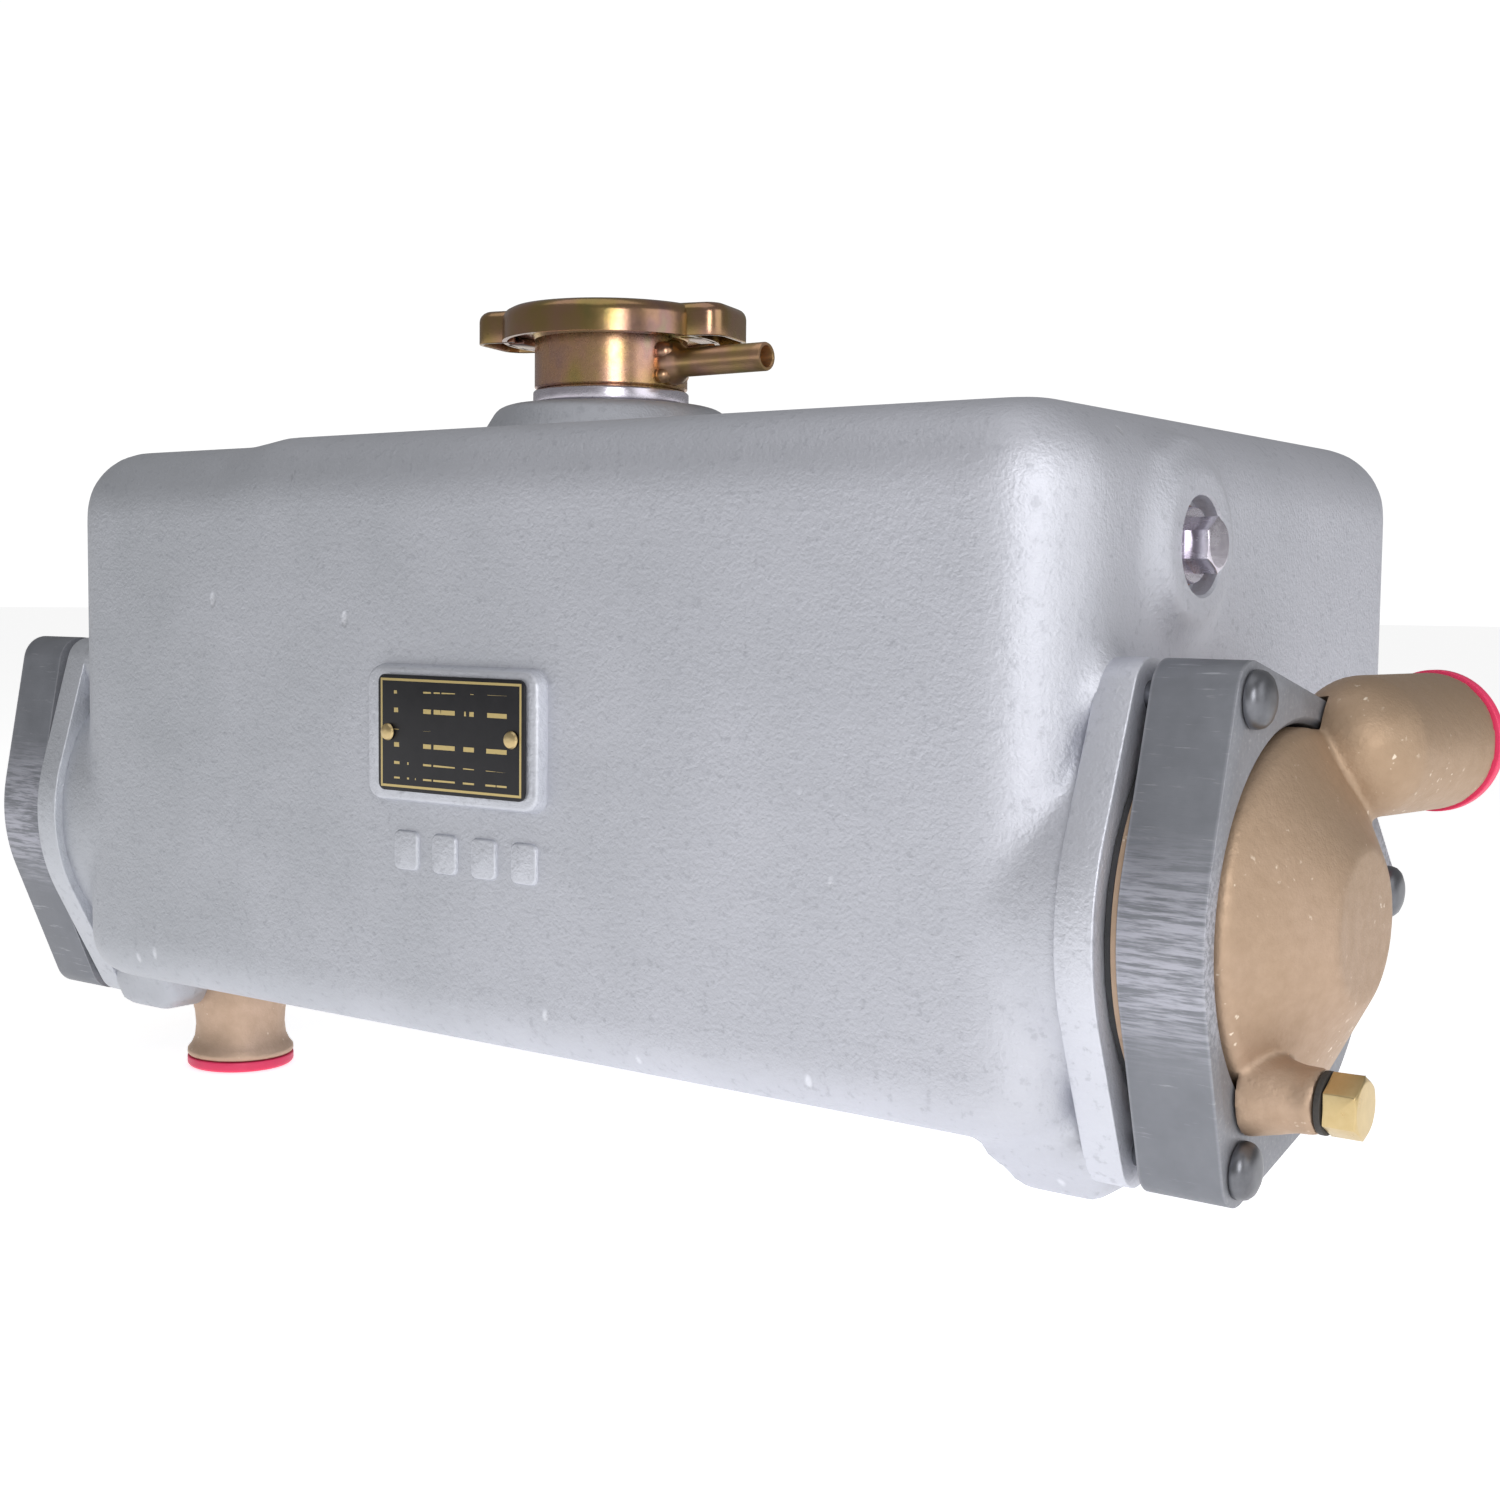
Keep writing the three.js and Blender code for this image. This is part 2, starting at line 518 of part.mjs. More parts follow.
function clampScrew(side, { y, z }, i) {
  const under = RING_FACE + GAP;
  const body = turned([
    [0, FLANGE_FACE - SCREW_DEPTH], [SCREW_R, FLANGE_FACE - SCREW_DEPTH], [SCREW_R, under], [5.8, under],
    [5.8, under + 1.4], [5, under + 2.8], [2.6, under + 3.8], [0, under + 3.8],
  ], sideAxis(side), [0, y, z], 12);
  return named(`clamp_screw_${sideName(side)}_${i + 1}`, body, DARK_STEEL);
}

function drainPlug(side) {
  const face = COVER_BACK + COVER_TIP + 0.3 + WASHER_THICKNESS + 2 * GAP;
  const centre = drainCentre(side);
  const shank = bar(DRAIN_THREAD_R, face - 12, face + 0.5, sideAxis(side), centre, 20);
  const head = hexHead(DRAIN_HEX, face, face + DRAIN_HEAD, sideAxis(side), centre);
  return named(`drain_plug_${sideName(side)}`, join(shank, head), BRASS);
}

const drainWasher = (side) => {
  const face = COVER_BACK + COVER_TIP + 0.3 + GAP;
  return named(`drain_washer_${sideName(side)}`,
    ring(DRAIN_THREAD_R + GAP, DRAIN_BOSS_R - 0.2, face, face + WASHER_THICKNESS, sideAxis(side),
      drainCentre(side)), COPPER);
};

// ---- Transit caps and hose stubs ---------------------------------------------------------------
// Push-in cap: a rim over the mouth and a hollow plug inside it. 0 is the mouth's face.
const capProfile = [
  [0, -8], [STUB_MOUTH_R - GAP, -8], [STUB_MOUTH_R - GAP, GAP], [STUB_LIP_R, GAP], [STUB_LIP_R, 3.3],
  [10, 3.3], [10, -6.4], [0, -6.4],
];
const stubProfile = [
  [STUB_BORE_R, GAP], [STUB_R, GAP], [STUB_R - 0.5, STUB_SOCKET + 5],
  [STUB_R - 0.5, STUB_SOCKET + STUB_LENGTH - 6], [STUB_LIP_R, STUB_SOCKET + STUB_LENGTH - 2],
  [STUB_LIP_R, STUB_SOCKET + STUB_LENGTH],
  [STUB_MOUTH_R, STUB_SOCKET + STUB_LENGTH], [STUB_MOUTH_R, STUB_SOCKET + STUB_LENGTH - 10],
  [STUB_BORE_R, STUB_SOCKET + STUB_LENGTH - 11], [STUB_BORE_R, GAP],
];
const outletAt = [OUTLET_X, 0, -AXIS_HEIGHT + STUB_SOCKET];
const outletMouth = [OUTLET_X, 0, -AXIS_HEIGHT - STUB_LENGTH];
const inletAt = [INLET_AT.x, REAR + INLET_BOSS_RISE - STUB_SOCKET, INLET_AT.z];
const inletMouth = [INLET_AT.x, REAR + INLET_BOSS_RISE + STUB_LENGTH, INLET_AT.z];

function pipeCap(side) {
  const { length } = pipeLine(side);
  const profile = capProfile.map(([r, h]) => [r, h + length]);
  return named(`water_pipe_cap_${sideName(side)}`, onPipe(side, profile), RED_PLASTIC);
}

// ---- Filler neck and pressure cap --------------------------------------------------------------
const neckCentre = [NECK_AT.x, NECK_AT.y, 0];

// Turns a geometry about the neck's axis after it was built along +X from that axis.
function roundNeck(geometry, degrees) {
  return solid(geometry.rotateZ(THREE.MathUtils.degToRad(degrees)).translate(NECK_AT.x, NECK_AT.y, 0));
}

function fillerNeck() {
  const inner = COLLAR_BORE_R - GAP - NECK_WALL;
  const tube = turned([
    [inner, TANK_TOP - WALL - 1], [COLLAR_BORE_R - GAP, TANK_TOP - WALL - 1],
    [COLLAR_BORE_R - GAP, COLLAR_TOP + GAP], [NECK_R, COLLAR_TOP + GAP], [NECK_R, NECK_RIM_Z],
    [NECK_RIM_R, NECK_RIM_Z], [NECK_RIM_R, NECK_RIM_Z + NECK_RIM], [inner, NECK_RIM_Z + NECK_RIM],
    [inner, NECK_SEAT_Z], [NECK_SEAT_R, NECK_SEAT_Z - 0.6], [NECK_SEAT_R, NECK_SEAT_Z - 2],
    [inner, NECK_SEAT_Z - 3], [inner, TANK_TOP - WALL - 1],
  ], 'z', neckCentre, ROUND);
  const sideHole = bar(OVERFLOW_BORE_R, inner - 4, NECK_R + 4, 'x', [NECK_AT.x, NECK_AT.y, OVERFLOW_Z]);
  // Two gaps in the rim let the cap's tongues down once it is turned a quarter.
  const gaps = [90, 270].map((turn) => {
    const tool = new THREE.BoxGeometry(8, 19, 4).translate(NECK_R + 2.2 + 4, 0, NECK_RIM_Z);
    return roundNeck(tool, CAP_ANGLE + turn);
  });
  return named('filler_neck', cut(tube, sideHole, ...gaps), YELLOW_ZINC);
}

const neckCollar = () => named('neck_collar',
  ring(COLLAR_BORE_R, NECK_R + 0.4, BOSS_TOP + GAP, COLLAR_TOP, 'z', neckCentre, ROUND), BRIGHT_ZINC);

function overflowPipe() {
  const centre = [NECK_AT.x, NECK_AT.y, OVERFLOW_Z];
  const pipe = join(
    bar(OVERFLOW_R, NECK_R - 3, OVERFLOW_END, 'x', centre),
    turned([[0, NECK_R - 3], [4.9, NECK_R - 3], [4.9, NECK_R + 2.6], [OVERFLOW_R, NECK_R + 4.2],
      [0, NECK_R + 4.2]], 'x', centre));
  const bore = bar(OVERFLOW_BORE_R, NECK_R - 4, OVERFLOW_END + 1, 'x', centre);
  const neckWall = bar(NECK_R + GAP, OVERFLOW_Z - 12, OVERFLOW_Z + 12, 'z', neckCentre, 2 * ROUND);
  return named('overflow_pipe', cut(pipe, bore, neckWall), YELLOW_ZINC);
}

function capShell() {
  const skirt = NECK_RIM_Z - 2;
  const sheet = 1.4;
  const inside = CAP_TOP - sheet;
  const shell = turned([
    [2.8, inside], [CAP_R - 7, inside], [CAP_R - 2.4, inside - 1], [CAP_R - sheet, inside - 3],
    [CAP_R - sheet, skirt],
    [CAP_R, skirt], [CAP_R, CAP_TOP - 4], [CAP_R - 1, CAP_TOP - 1.4], [CAP_R - 3, CAP_TOP - 0.5],
    [2.8, CAP_TOP],
    [2.8, inside],
  ], 'z', neckCentre, ROUND);
  const reach = CAP_EAR_REACH;
  const ears = [0, 180].map((turn) => {
    const side = new THREE.Shape([
      [CAP_R - 4, CAP_TOP - 0.5], [reach - 3.4, CAP_TOP - 0.7], [reach - 0.9, CAP_TOP - 1.8],
      [reach, CAP_TOP - 4.2], [reach, CAP_TOP - 10.6], [reach - 1.5, CAP_TOP - 10.6],
      [reach - 1.5, CAP_TOP - 4.6], [reach - 2.2, CAP_TOP - 2.8], [reach - 4, CAP_TOP - 2.2],
      [CAP_R - 4, CAP_TOP - 2],
    ].map(([r, z]) => new THREE.Vector2(r, z)));
    const ear = new THREE.ExtrudeGeometry(side, { depth: CAP_EAR_WIDTH, bevelEnabled: false });
    return roundNeck(ear.rotateX(Math.PI / 2).translate(0, CAP_EAR_WIDTH / 2, 0), CAP_ANGLE + turn);
  });
  const tongues = [0, 180].map((turn) => {
    const tongue = new THREE.BoxGeometry(6, 14, 1.4).translate(NECK_RIM_R - 1, 0, skirt + 0.7);
    return roundNeck(tongue, CAP_ANGLE + turn);
  });
  return named('cap_shell', join(shell, ...ears, ...tongues), YELLOW_ZINC);
}

const RIM_TOP = NECK_RIM_Z + NECK_RIM;
const capGasket = () => named('cap_top_gasket', ring(2.8, NECK_RIM_R - 0.8, RIM_TOP + GAP, RIM_TOP + 1.5,
  'z', neckCentre, ROUND), RUBBER);

const capSpacer = () => named('cap_locking_plate', ring(2.8, 9, RIM_TOP + 1.8, CAP_TOP - 1.7,
  'z', neckCentre, 16), BRIGHT_ZINC);

const capRivet = () => named('cap_rivet', turned([
  [0, RIM_TOP - 2.2], [5, RIM_TOP - 2.2], [5, RIM_TOP - GAP * 2], [2.5, RIM_TOP - GAP * 2],
  [2.5, CAP_TOP + GAP], [5, CAP_TOP + GAP], [4.4, CAP_TOP + 1], [0, CAP_TOP + 1.3],
], 'z', neckCentre, 16), YELLOW_ZINC);

const SEAL_Z = NECK_SEAT_Z + GAP;
const VALVE_Z = SEAL_Z + 1.5 + GAP;
const valveSeal = () => named('pressure_valve_seal',
  ring(NECK_SEAT_R - 2.5, NECK_SEAT_R + 3, SEAL_Z, SEAL_Z + 1.5, 'z', neckCentre, SMALL), RUBBER);

const valvePlate = () => named('pressure_valve_plate', turned([
  [2.1, VALVE_Z], [NECK_SEAT_R + 2.5, VALVE_Z], [NECK_SEAT_R + 2.5, VALVE_Z + 1.4],
  [13.4, VALVE_Z + 1.4], [13.4, VALVE_Z + 3],
  [12.4, VALVE_Z + 3], [12.4, VALVE_Z + 1.4], [2.1, VALVE_Z + 1.4], [2.1, VALVE_Z],
], 'z', neckCentre, SMALL), BRASS);

const vacuumValve = () => named('vacuum_valve', turned([
  [0, VALVE_Z - 2.2], [3, VALVE_Z - 2.2], [5.4, VALVE_Z - 1.2], [5.4, VALVE_Z - GAP], [1.6, VALVE_Z - GAP],
  [1.6, VALVE_Z + 5], [3.4, VALVE_Z + 5], [3.4, VALVE_Z + 6], [0, VALVE_Z + 6],
], 'z', neckCentre, 16), BRASS);

function capSpring() {
  const wire = 0.9;
  const coilR = 10.6;
  const turns = 4;
  const from = VALVE_Z + 1.4 + GAP + wire;
  const to = RIM_TOP - GAP - wire;
  const steps = turns * 12;
  const points = [];
  for (let i = 0; i <= steps; i += 1) {
    const at = (i / steps) * turns * 2 * Math.PI;
    points.push(new THREE.Vector3(NECK_AT.x + coilR * Math.cos(at), NECK_AT.y + coilR * Math.sin(at),
      from + (to - from) * (i / steps)));
  }
  const section = new THREE.Shape().absarc(0, 0, wire, 0, 2 * Math.PI);
  const coil = new THREE.ExtrudeGeometry(section, {
    steps, extrudePath: new THREE.CatmullRomCurve3(points), curveSegments: 3,
  });
  return named('cap_spring', solid(coil), SPRING_STEEL);
}

// ---- Plug in the tank's end, and the nameplate -------------------------------------------------
const END_FACE = HALF + END_BOSS_RISE - END_RECESS_DEPTH; // floor of the recess
const endPlugCentre = [END_FACE, END_BOSS_AT.y, END_BOSS_AT.z];
const endWasher = () => named('tank_plug_washer',
  ring(END_PLUG_THREAD_R + GAP, END_PLUG_FLANGE_R + 0.4, GAP, GAP + 1, 'x', endPlugCentre), COPPER);

function endPlug() {
  const under = 1 + 2 * GAP;
  return named('tank_plug', join(
    bar(END_PLUG_THREAD_R, -9, under + 0.5, 'x', endPlugCentre),
    bar(END_PLUG_FLANGE_R, under, under + END_PLUG_FLANGE, 'x', endPlugCentre, SMALL),
    hexHead(END_PLUG_HEX, under, under + END_PLUG_HEAD, 'x', endPlugCentre)), BRIGHT_ZINC);
}

const PAD_FACE = -FRONT_REACH - PAD.rise;
function nameplate() {
  const shape = roundedRectangle(PLATE.x, PLATE.z, PLATE.x + PLATE.width, PLATE.z + PLATE.height, 2);
  const sheet = new THREE.ExtrudeGeometry(shape, {
    depth: PLATE.thickness, bevelEnabled: false, curveSegments: 4,
  });
  const holes = PLATE_RIVETS.map(({ x, z }) =>
    bar(RIVET_R + GAP, PAD_FACE - 3, PAD_FACE + 1, 'y', [x, 0, z], 12));
  return named('nameplate',
    cut(solid(sheet.rotateX(Math.PI / 2).translate(0, PAD_FACE - GAP, 0)), ...holes), PLATE_BLACK);
}

function plateRivet({ x, z }, i) {
  const head = PAD_FACE - PLATE.thickness - 2 * GAP;
  const rivet = turned([
    [0, head - 0.9], [1.1, head - 0.8], [1.9, head], [RIVET_R, head], [RIVET_R, -FRONT_REACH],
    [0, -FRONT_REACH],
  ], 'y', [x, 0, z], 16);
  return named(`plate_rivet_${i + 1}`, rivet, BRASS);
}

// ---- Assembly ----------------------------------------------------------------------------------
const assembly = new THREE.Group();
assembly.position.z = AXIS_HEIGHT;
assembly.add(headerTank(), tubeStack(), ...BAFFLE_XS.map(baffle));
for (const side of [1, -1]) {
  assembly.add(endSeal(side), endCover(side), clampRing(side), drainPlug(side), drainWasher(side),
    pipeCap(side), ...screwPlaces(side).map((place, i) => clampScrew(side, place, i)));
}
assembly.add(
  named('coolant_outlet_stub', turned(stubProfile, '-z', outletAt), CAST),
  named('coolant_outlet_cap', turned(capProfile, '-z', outletMouth), RED_PLASTIC),
  named('coolant_inlet_stub', turned(stubProfile, 'y', inletAt), CAST),
  named('coolant_inlet_cap', turned(capProfile, 'y', inletMouth), RED_PLASTIC),
  fillerNeck(), neckCollar(), overflowPipe(), capShell(), capGasket(), capSpacer(), capRivet(),
  capSpring(), valvePlate(), valveSeal(), vacuumValve(), endPlug(), endWasher(), nameplate(),
  ...PLATE_RIVETS.map(plateRivet),
);

export default assembly;
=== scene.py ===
# Header tank heat exchanger: the looks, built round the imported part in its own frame, in metres.
import math
import bpy
from mathutils import Matrix, Quaternion, Vector


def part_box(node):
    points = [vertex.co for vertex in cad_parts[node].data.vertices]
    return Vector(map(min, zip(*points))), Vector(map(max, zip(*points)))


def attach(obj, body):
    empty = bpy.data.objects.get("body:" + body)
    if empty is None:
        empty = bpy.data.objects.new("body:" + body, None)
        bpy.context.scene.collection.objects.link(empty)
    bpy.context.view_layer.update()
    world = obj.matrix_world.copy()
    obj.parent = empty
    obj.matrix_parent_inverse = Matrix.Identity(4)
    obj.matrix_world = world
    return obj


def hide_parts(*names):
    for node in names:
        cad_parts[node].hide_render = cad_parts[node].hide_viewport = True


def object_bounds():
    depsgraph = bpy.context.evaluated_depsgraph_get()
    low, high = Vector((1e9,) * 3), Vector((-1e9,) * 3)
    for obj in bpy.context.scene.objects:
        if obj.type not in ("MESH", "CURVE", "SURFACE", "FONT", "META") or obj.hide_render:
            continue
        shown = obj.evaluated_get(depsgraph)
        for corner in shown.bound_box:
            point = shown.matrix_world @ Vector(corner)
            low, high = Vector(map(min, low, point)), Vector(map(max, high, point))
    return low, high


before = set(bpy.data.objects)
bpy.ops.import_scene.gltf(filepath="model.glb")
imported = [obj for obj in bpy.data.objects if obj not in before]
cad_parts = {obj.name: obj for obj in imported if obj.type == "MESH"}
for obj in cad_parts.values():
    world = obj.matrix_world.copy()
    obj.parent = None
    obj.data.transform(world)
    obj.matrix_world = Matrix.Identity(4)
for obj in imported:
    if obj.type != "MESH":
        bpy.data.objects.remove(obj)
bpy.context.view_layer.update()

# ---- Tank casting ------------------------------------------------------------------------------
# One aluminium casting: the coolant tank, the cooler's barrel along its lower front edge, two feet
# and the bosses. It is sand cast in one pour, so every join has a fillet, and then bead-blasted.
MM = 0.001
axis_height = sum(corner.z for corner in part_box("tube_stack")) / 2
ALONG_X, BACK_ALONG_X = (1, 0, 0), (-1, 0, 0)
ALONG_Y, ALONG_Z, DOWN = (0, 1, 0), (0, 0, 1), (0, 0, -1)
# Places from the middle of the cooler's axis, in millimetres.
NECK = (-37, 51, 0)
END_BOSS = (159.5, 8, 76.3)
INLET = (110, 149, 62)


def at(x, y, z):
    """A place in millimetres from the middle of the cooler's axis, as metres in the shared frame."""
    return Vector((x * MM, y * MM, z * MM + axis_height))


def alone(piece):
    """Selects one piece and nothing else."""
    bpy.ops.object.select_all(action='DESELECT')
    piece.select_set(True)
    bpy.context.view_layer.objects.active = piece
    return piece


def settle(piece):
    """Puts a piece's place and turn into its mesh."""
    alone(piece)
    bpy.ops.object.transform_apply(location=True, rotation=True, scale=True)
    return piece


def block(low, high):
    """A plain block between two corners in millimetres from the cooler's axis."""
    bpy.ops.object.select_all(action='DESELECT')
    low, high = at(*low), at(*high)
    bpy.ops.mesh.primitive_cube_add(size=1, location=(low + high) / 2, scale=high - low)
    return settle(bpy.context.object)


def pick(piece, kind, wanted):
    """Leaves edit mode with only the wanted corners, edges or faces of a piece selected."""
    alone(piece)
    bpy.ops.object.mode_set(mode='EDIT')
    bpy.ops.mesh.select_mode(type=kind)
    bpy.ops.mesh.select_all(action='DESELECT')
    bpy.ops.object.mode_set(mode='OBJECT')
    mesh = piece.data
    if kind == 'VERT':
        for corner in mesh.vertices:
            corner.select = wanted(corner.co)
    elif kind == 'EDGE':
        for edge in mesh.edges:
            edge.select = wanted(*(mesh.vertices[i].co for i in edge.vertices))
    else:
        for face in mesh.polygons:
            face.select = wanted(face.center, face.normal)
    bpy.ops.object.mode_set(mode='EDIT')


def round_edges(piece, wanted, radius, steps=6):
    pick(piece, 'EDGE', wanted)
    bpy.ops.mesh.bevel(offset=radius * MM, segments=steps, affect='EDGES')
    bpy.ops.object.mode_set(mode='OBJECT')
    return piece


def turned(rings, centre=(0, 0, 0), along=ALONG_Z, sides=96, through=False, twist=0):
    """A round piece drawn up ring by ring from (radius, distance) pairs, in millimetres.
    With through, it is a hollow ring whose last circle closes on its first."""
    bpy.ops.object.select_all(action='DESELECT')
    (radius, height), *rest = rings
    bpy.ops.mesh.primitive_circle_add(vertices=sides, radius=radius * MM, location=(0, 0, 0),
                                      fill_type='NOTHING' if through else 'NGON')
    piece = bpy.context.object
    bpy.ops.object.mode_set(mode='EDIT')
    bpy.ops.mesh.select_all(action='SELECT')
    bpy.ops.transform.translate(value=(0, 0, height * MM))
    for next_radius, next_height in rest + ([rings[0]] if through else []):
        bpy.ops.mesh.extrude_region_move(
            TRANSFORM_OT_translate={'value': (0, 0, (next_height - height) * MM)})
        grow = next_radius / radius
        bpy.ops.transform.resize(value=(grow, grow, 1), center_override=(0, 0, next_height * MM))
        radius, height = next_radius, next_height
    bpy.ops.mesh.select_all(action='SELECT')
    bpy.ops.mesh.remove_doubles(threshold=1e-6)
    bpy.ops.mesh.normals_make_consistent(inside=False)
    bpy.ops.object.mode_set(mode='OBJECT')
    piece.rotation_mode = 'QUATERNION'
    aim = Vector((0, 0, 1)).rotation_difference(Vector(along))
    piece.rotation_quaternion = aim @ Quaternion((0, 0, 1), math.radians(twist))
    piece.location = at(*centre)
    return settle(piece)


def shaped(piece, kind, **settings):
    """Adds a modifier, sets it and applies it."""
    alone(piece)
    modifier = piece.modifiers.new(kind.title(), kind)
    for name, value in settings.items():
        setattr(modifier, name, value)
    bpy.ops.object.modifier_apply(modifier=modifier.name)
    return piece


def joined(first, *others):
    """Makes one object of several."""
    alone(first)
    for piece in others:
        piece.select_set(True)
    bpy.ops.object.join()
    return first


def cut_away(piece, *tools):
    for tool in tools:
        shaped(piece, 'BOOLEAN', operation='DIFFERENCE', solver='MANIFOLD', object=tool)
        bpy.data.objects.remove(tool)
    return piece


def poured(piece, grain, passes):
    """Melts overlapping shapes into one skin with cast fillets; grain is the skin's mesh size."""
    shaped(piece, 'REMESH', mode='VOXEL', voxel_size=grain * MM)
    return shaped(piece, 'SMOOTH', factor=0.5, iterations=passes)


def softened(piece, width, angle=35):
    """Breaks a piece's sharp edges, so that they catch the light."""
    return shaped(piece, 'BEVEL', width=width * MM, segments=3, limit_method='ANGLE',
                  angle_limit=math.radians(angle), use_clamp_overlap=True)


def fitted(piece, name, body, slot, finish, *nodes, smooth=32):
    """Names a finished piece, gives it its finish and ties it to the part."""
    alone(piece)
    bpy.ops.object.shade_smooth_by_angle(angle=math.radians(smooth))
    piece.name = piece.data.name = name
    piece.data.materials.clear()
    piece.data.materials.append(finish.material)
    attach(piece, body)
    if nodes:
        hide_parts(*nodes)
    return piece


class Amount:
    """A number that changes over a surface; arithmetic on it adds Math nodes."""

    def __init__(self, finish, socket):
        self.finish, self.socket = finish, socket

    def maths(self, operation, *values, clamp=False):
        return self.finish.node('ShaderNodeMath', {'operation': operation, 'use_clamp': clamp},
                                dict(enumerate(values)))

    def __add__(self, other):
        return self.maths('ADD', self, other)

    __radd__ = __add__

    def __sub__(self, other):
        return self.maths('SUBTRACT', self, other)

    def __rsub__(self, other):
        return self.maths('SUBTRACT', other, self)

    def __mul__(self, other):
        return self.maths('MULTIPLY', self, other)

    __rmul__ = __mul__

    def __gt__(self, other):
        return self.maths('GREATER_THAN', self, other)

    def __lt__(self, other):
        return self.maths('LESS_THAN', self, other)


class Finish:
    """One surface finish: a Principled skin whose colour, roughness and relief are fed by nodes."""

    def __init__(self, name, metallic, coat=0.0):
        self.material = bpy.data.materials.new(name)
        self.material.use_nodes = True
        self.tree = self.material.node_tree
        self.skin = next(n for n in self.tree.nodes if n.type == 'BSDF_PRINCIPLED')
        self.skin.inputs['Metallic'].default_value = metallic
        self.skin.inputs['Coat Weight'].default_value = coat
        self.place = self.node('ShaderNodeTexCoord', {}, {}, 3)

    def node(self, kind, settings, values, output=0):
        made = self.tree.nodes.new(kind)
        for name, value in settings.items():
            if name == 'stops':
                ramp = made.color_ramp
                for _ in value[2:]:
                    ramp.elements.new(0.5)
                for element, (position, color) in zip(ramp.elements, value):
                    element.position = position
                    element.color = (*color, 1)
            else:
                setattr(made, name, value)
        for name, value in values.items():
            self.feed(made.inputs[name], value)
        return Amount(self, made.outputs[output])

    def feed(self, socket, value):
        if isinstance(value, Amount):
            self.tree.links.new(value.socket, socket)
        elif socket.type == 'RGBA' and len(value) == 3:
            socket.default_value = (*value, 1)
        else:
            socket.default_value = value

    def cloud(self, size, detail=3, rough=0.5, place=None, shape='ShaderNodeTexNoise'):
        """Soft noise; size is its patch in millimetres."""
        values = {'Vector': place or self.place, 'Scale': 1 / (size * MM), 'Detail': detail,
                  'Roughness': rough}
        return self.node(shape, {}, values)

    def stretched(self, x, y, z):
        """The place on the piece, squeezed along each axis, for streaks."""
        return self.node('ShaderNodeMapping', {}, {'Vector': self.place, 'Scale': (x, y, z)})

    def side(self, axis):
        """One coordinate of the place on the piece, in metres."""
        return self.node('ShaderNodeSeparateXYZ', {}, {0: self.place}, 'XYZ'.index(axis))

    def between(self, low, high, value):
        """0 below low, 1 above high."""
        return self.node('ShaderNodeMapRange', {'clamp': True, 'interpolation_type': 'SMOOTHSTEP'},
                         {0: value, 1: low, 2: high})

    def mixed(self, share, one, other, blend='MIX'):
        return self.node('ShaderNodeMix', {'data_type': 'RGBA', 'blend_type': blend},
                         {0: share, 6: one, 7: other}, 2)

    def wear(self, color, rough, relief, height=0.0001, strength=1.0):
        """Feeds the skin: colour, roughness, and relief as a bump of that height in metres."""
        self.feed(self.skin.inputs['Base Color'], color)
        self.feed(self.skin.inputs['Roughness'], rough)
        bump = self.node('ShaderNodeBump', {}, {'Strength': strength, 'Distance': height,
                                                'Height': relief})
        self.feed(self.skin.inputs['Normal'], bump)
        return self


def tinted(share, *color):
    """A colour made lighter or darker by a share."""
    return tuple(share * level for level in color)


def blasted_aluminium(name, shade=1.0, rough=0.5):
    """Bead-blasted casting: fine grain, slow mottling, a few bright dings and grey stains."""
    finish = Finish(name, 0.72)
    mottling = finish.cloud(45, 4, 0.55)
    grain = finish.cloud(0.9, 2, 0.6)
    pores = finish.cloud(2.6, 3, 0.65)
    cells = finish.node('ShaderNodeTexVoronoi', {},
                        {'Vector': finish.stretched(1, 1, 0.55), 'Scale': 75})
    patches = finish.cloud(60, 2, 0.5)
    dings = finish.between(0.10, 0.04, cells) * finish.between(0.5, 0.62, patches)
    streaks = finish.cloud(6, 3, 0.7, finish.stretched(2.2, 2.2, 0.35))
    marks = finish.between(0.66, 0.74, streaks) * finish.between(0.5, 0.6, finish.cloud(38, 2))
    # Painted light: the casting is painted lighter towards its right end (+X) and darker to the left,
    # where less light falls.
    painted_light_to_right = finish.between(-0.15, 0.15, finish.side('X'))
    tone = finish.mixed(mottling, tinted(shade, 0.42, 0.44, 0.47),
                        tinted(shade, 0.60, 0.61, 0.66))
    tone = finish.mixed(painted_light_to_right * 0.35, tone, tinted(shade, 0.70, 0.70, 0.78))
    tone = finish.mixed(marks * 0.35, tone, (0.34, 0.35, 0.38))
    tone = finish.mixed(dings * 0.4, tone, (0.86, 0.87, 0.93))
    tone = finish.mixed(finish.between(0.56, 0.7, pores) * 0.28, tone, (0.33, 0.34, 0.38))
    roughness = rough + 0.14 * pores - 0.18 * dings - 0.05 * marks
    return finish.wear(tone, roughness, grain * 0.7 + pores * 0.7 + mottling * 1.2 - dings * 0.8,
                       0.00028, 0.85)


cast_skin = blasted_aluminium('blasted_casting')

tank = block((-159.5, -47, 18), (159.5, 149, 105.4))
alone(tank)
bpy.ops.object.mode_set(mode='EDIT')
for x in (-92, -78):
    bpy.ops.mesh.select_all(action='SELECT')
    bpy.ops.mesh.bisect(plane_co=at(x, 0, 0), plane_no=(1, 0, 0))
bpy.ops.object.mode_set(mode='OBJECT')
# The left end of the top is 2 mm lower.
pick(tank, 'VERT', lambda co: co.x < at(-91, 0, 0).x and co.z > at(0, 0, 100).z)
bpy.ops.transform.translate(value=(0, 0, -2 * MM))
bpy.ops.object.mode_set(mode='OBJECT')


def upright(a, b):
    return abs(a.z - b.z) > 20 * MM and abs(abs(a.x) - 159.5 * MM) < MM


def level_rim(z):
    """Finds the level edges round a block's top or bottom, but not those that cross its faces."""
    def found(a, b):
        crosses = abs(a.y - b.y) > 60 * MM and max(abs(a.x), abs(b.x)) < 150 * MM
        return all(abs(corner.z - at(0, 0, z).z) < 2.2 * MM for corner in (a, b)) and not crosses
    return found


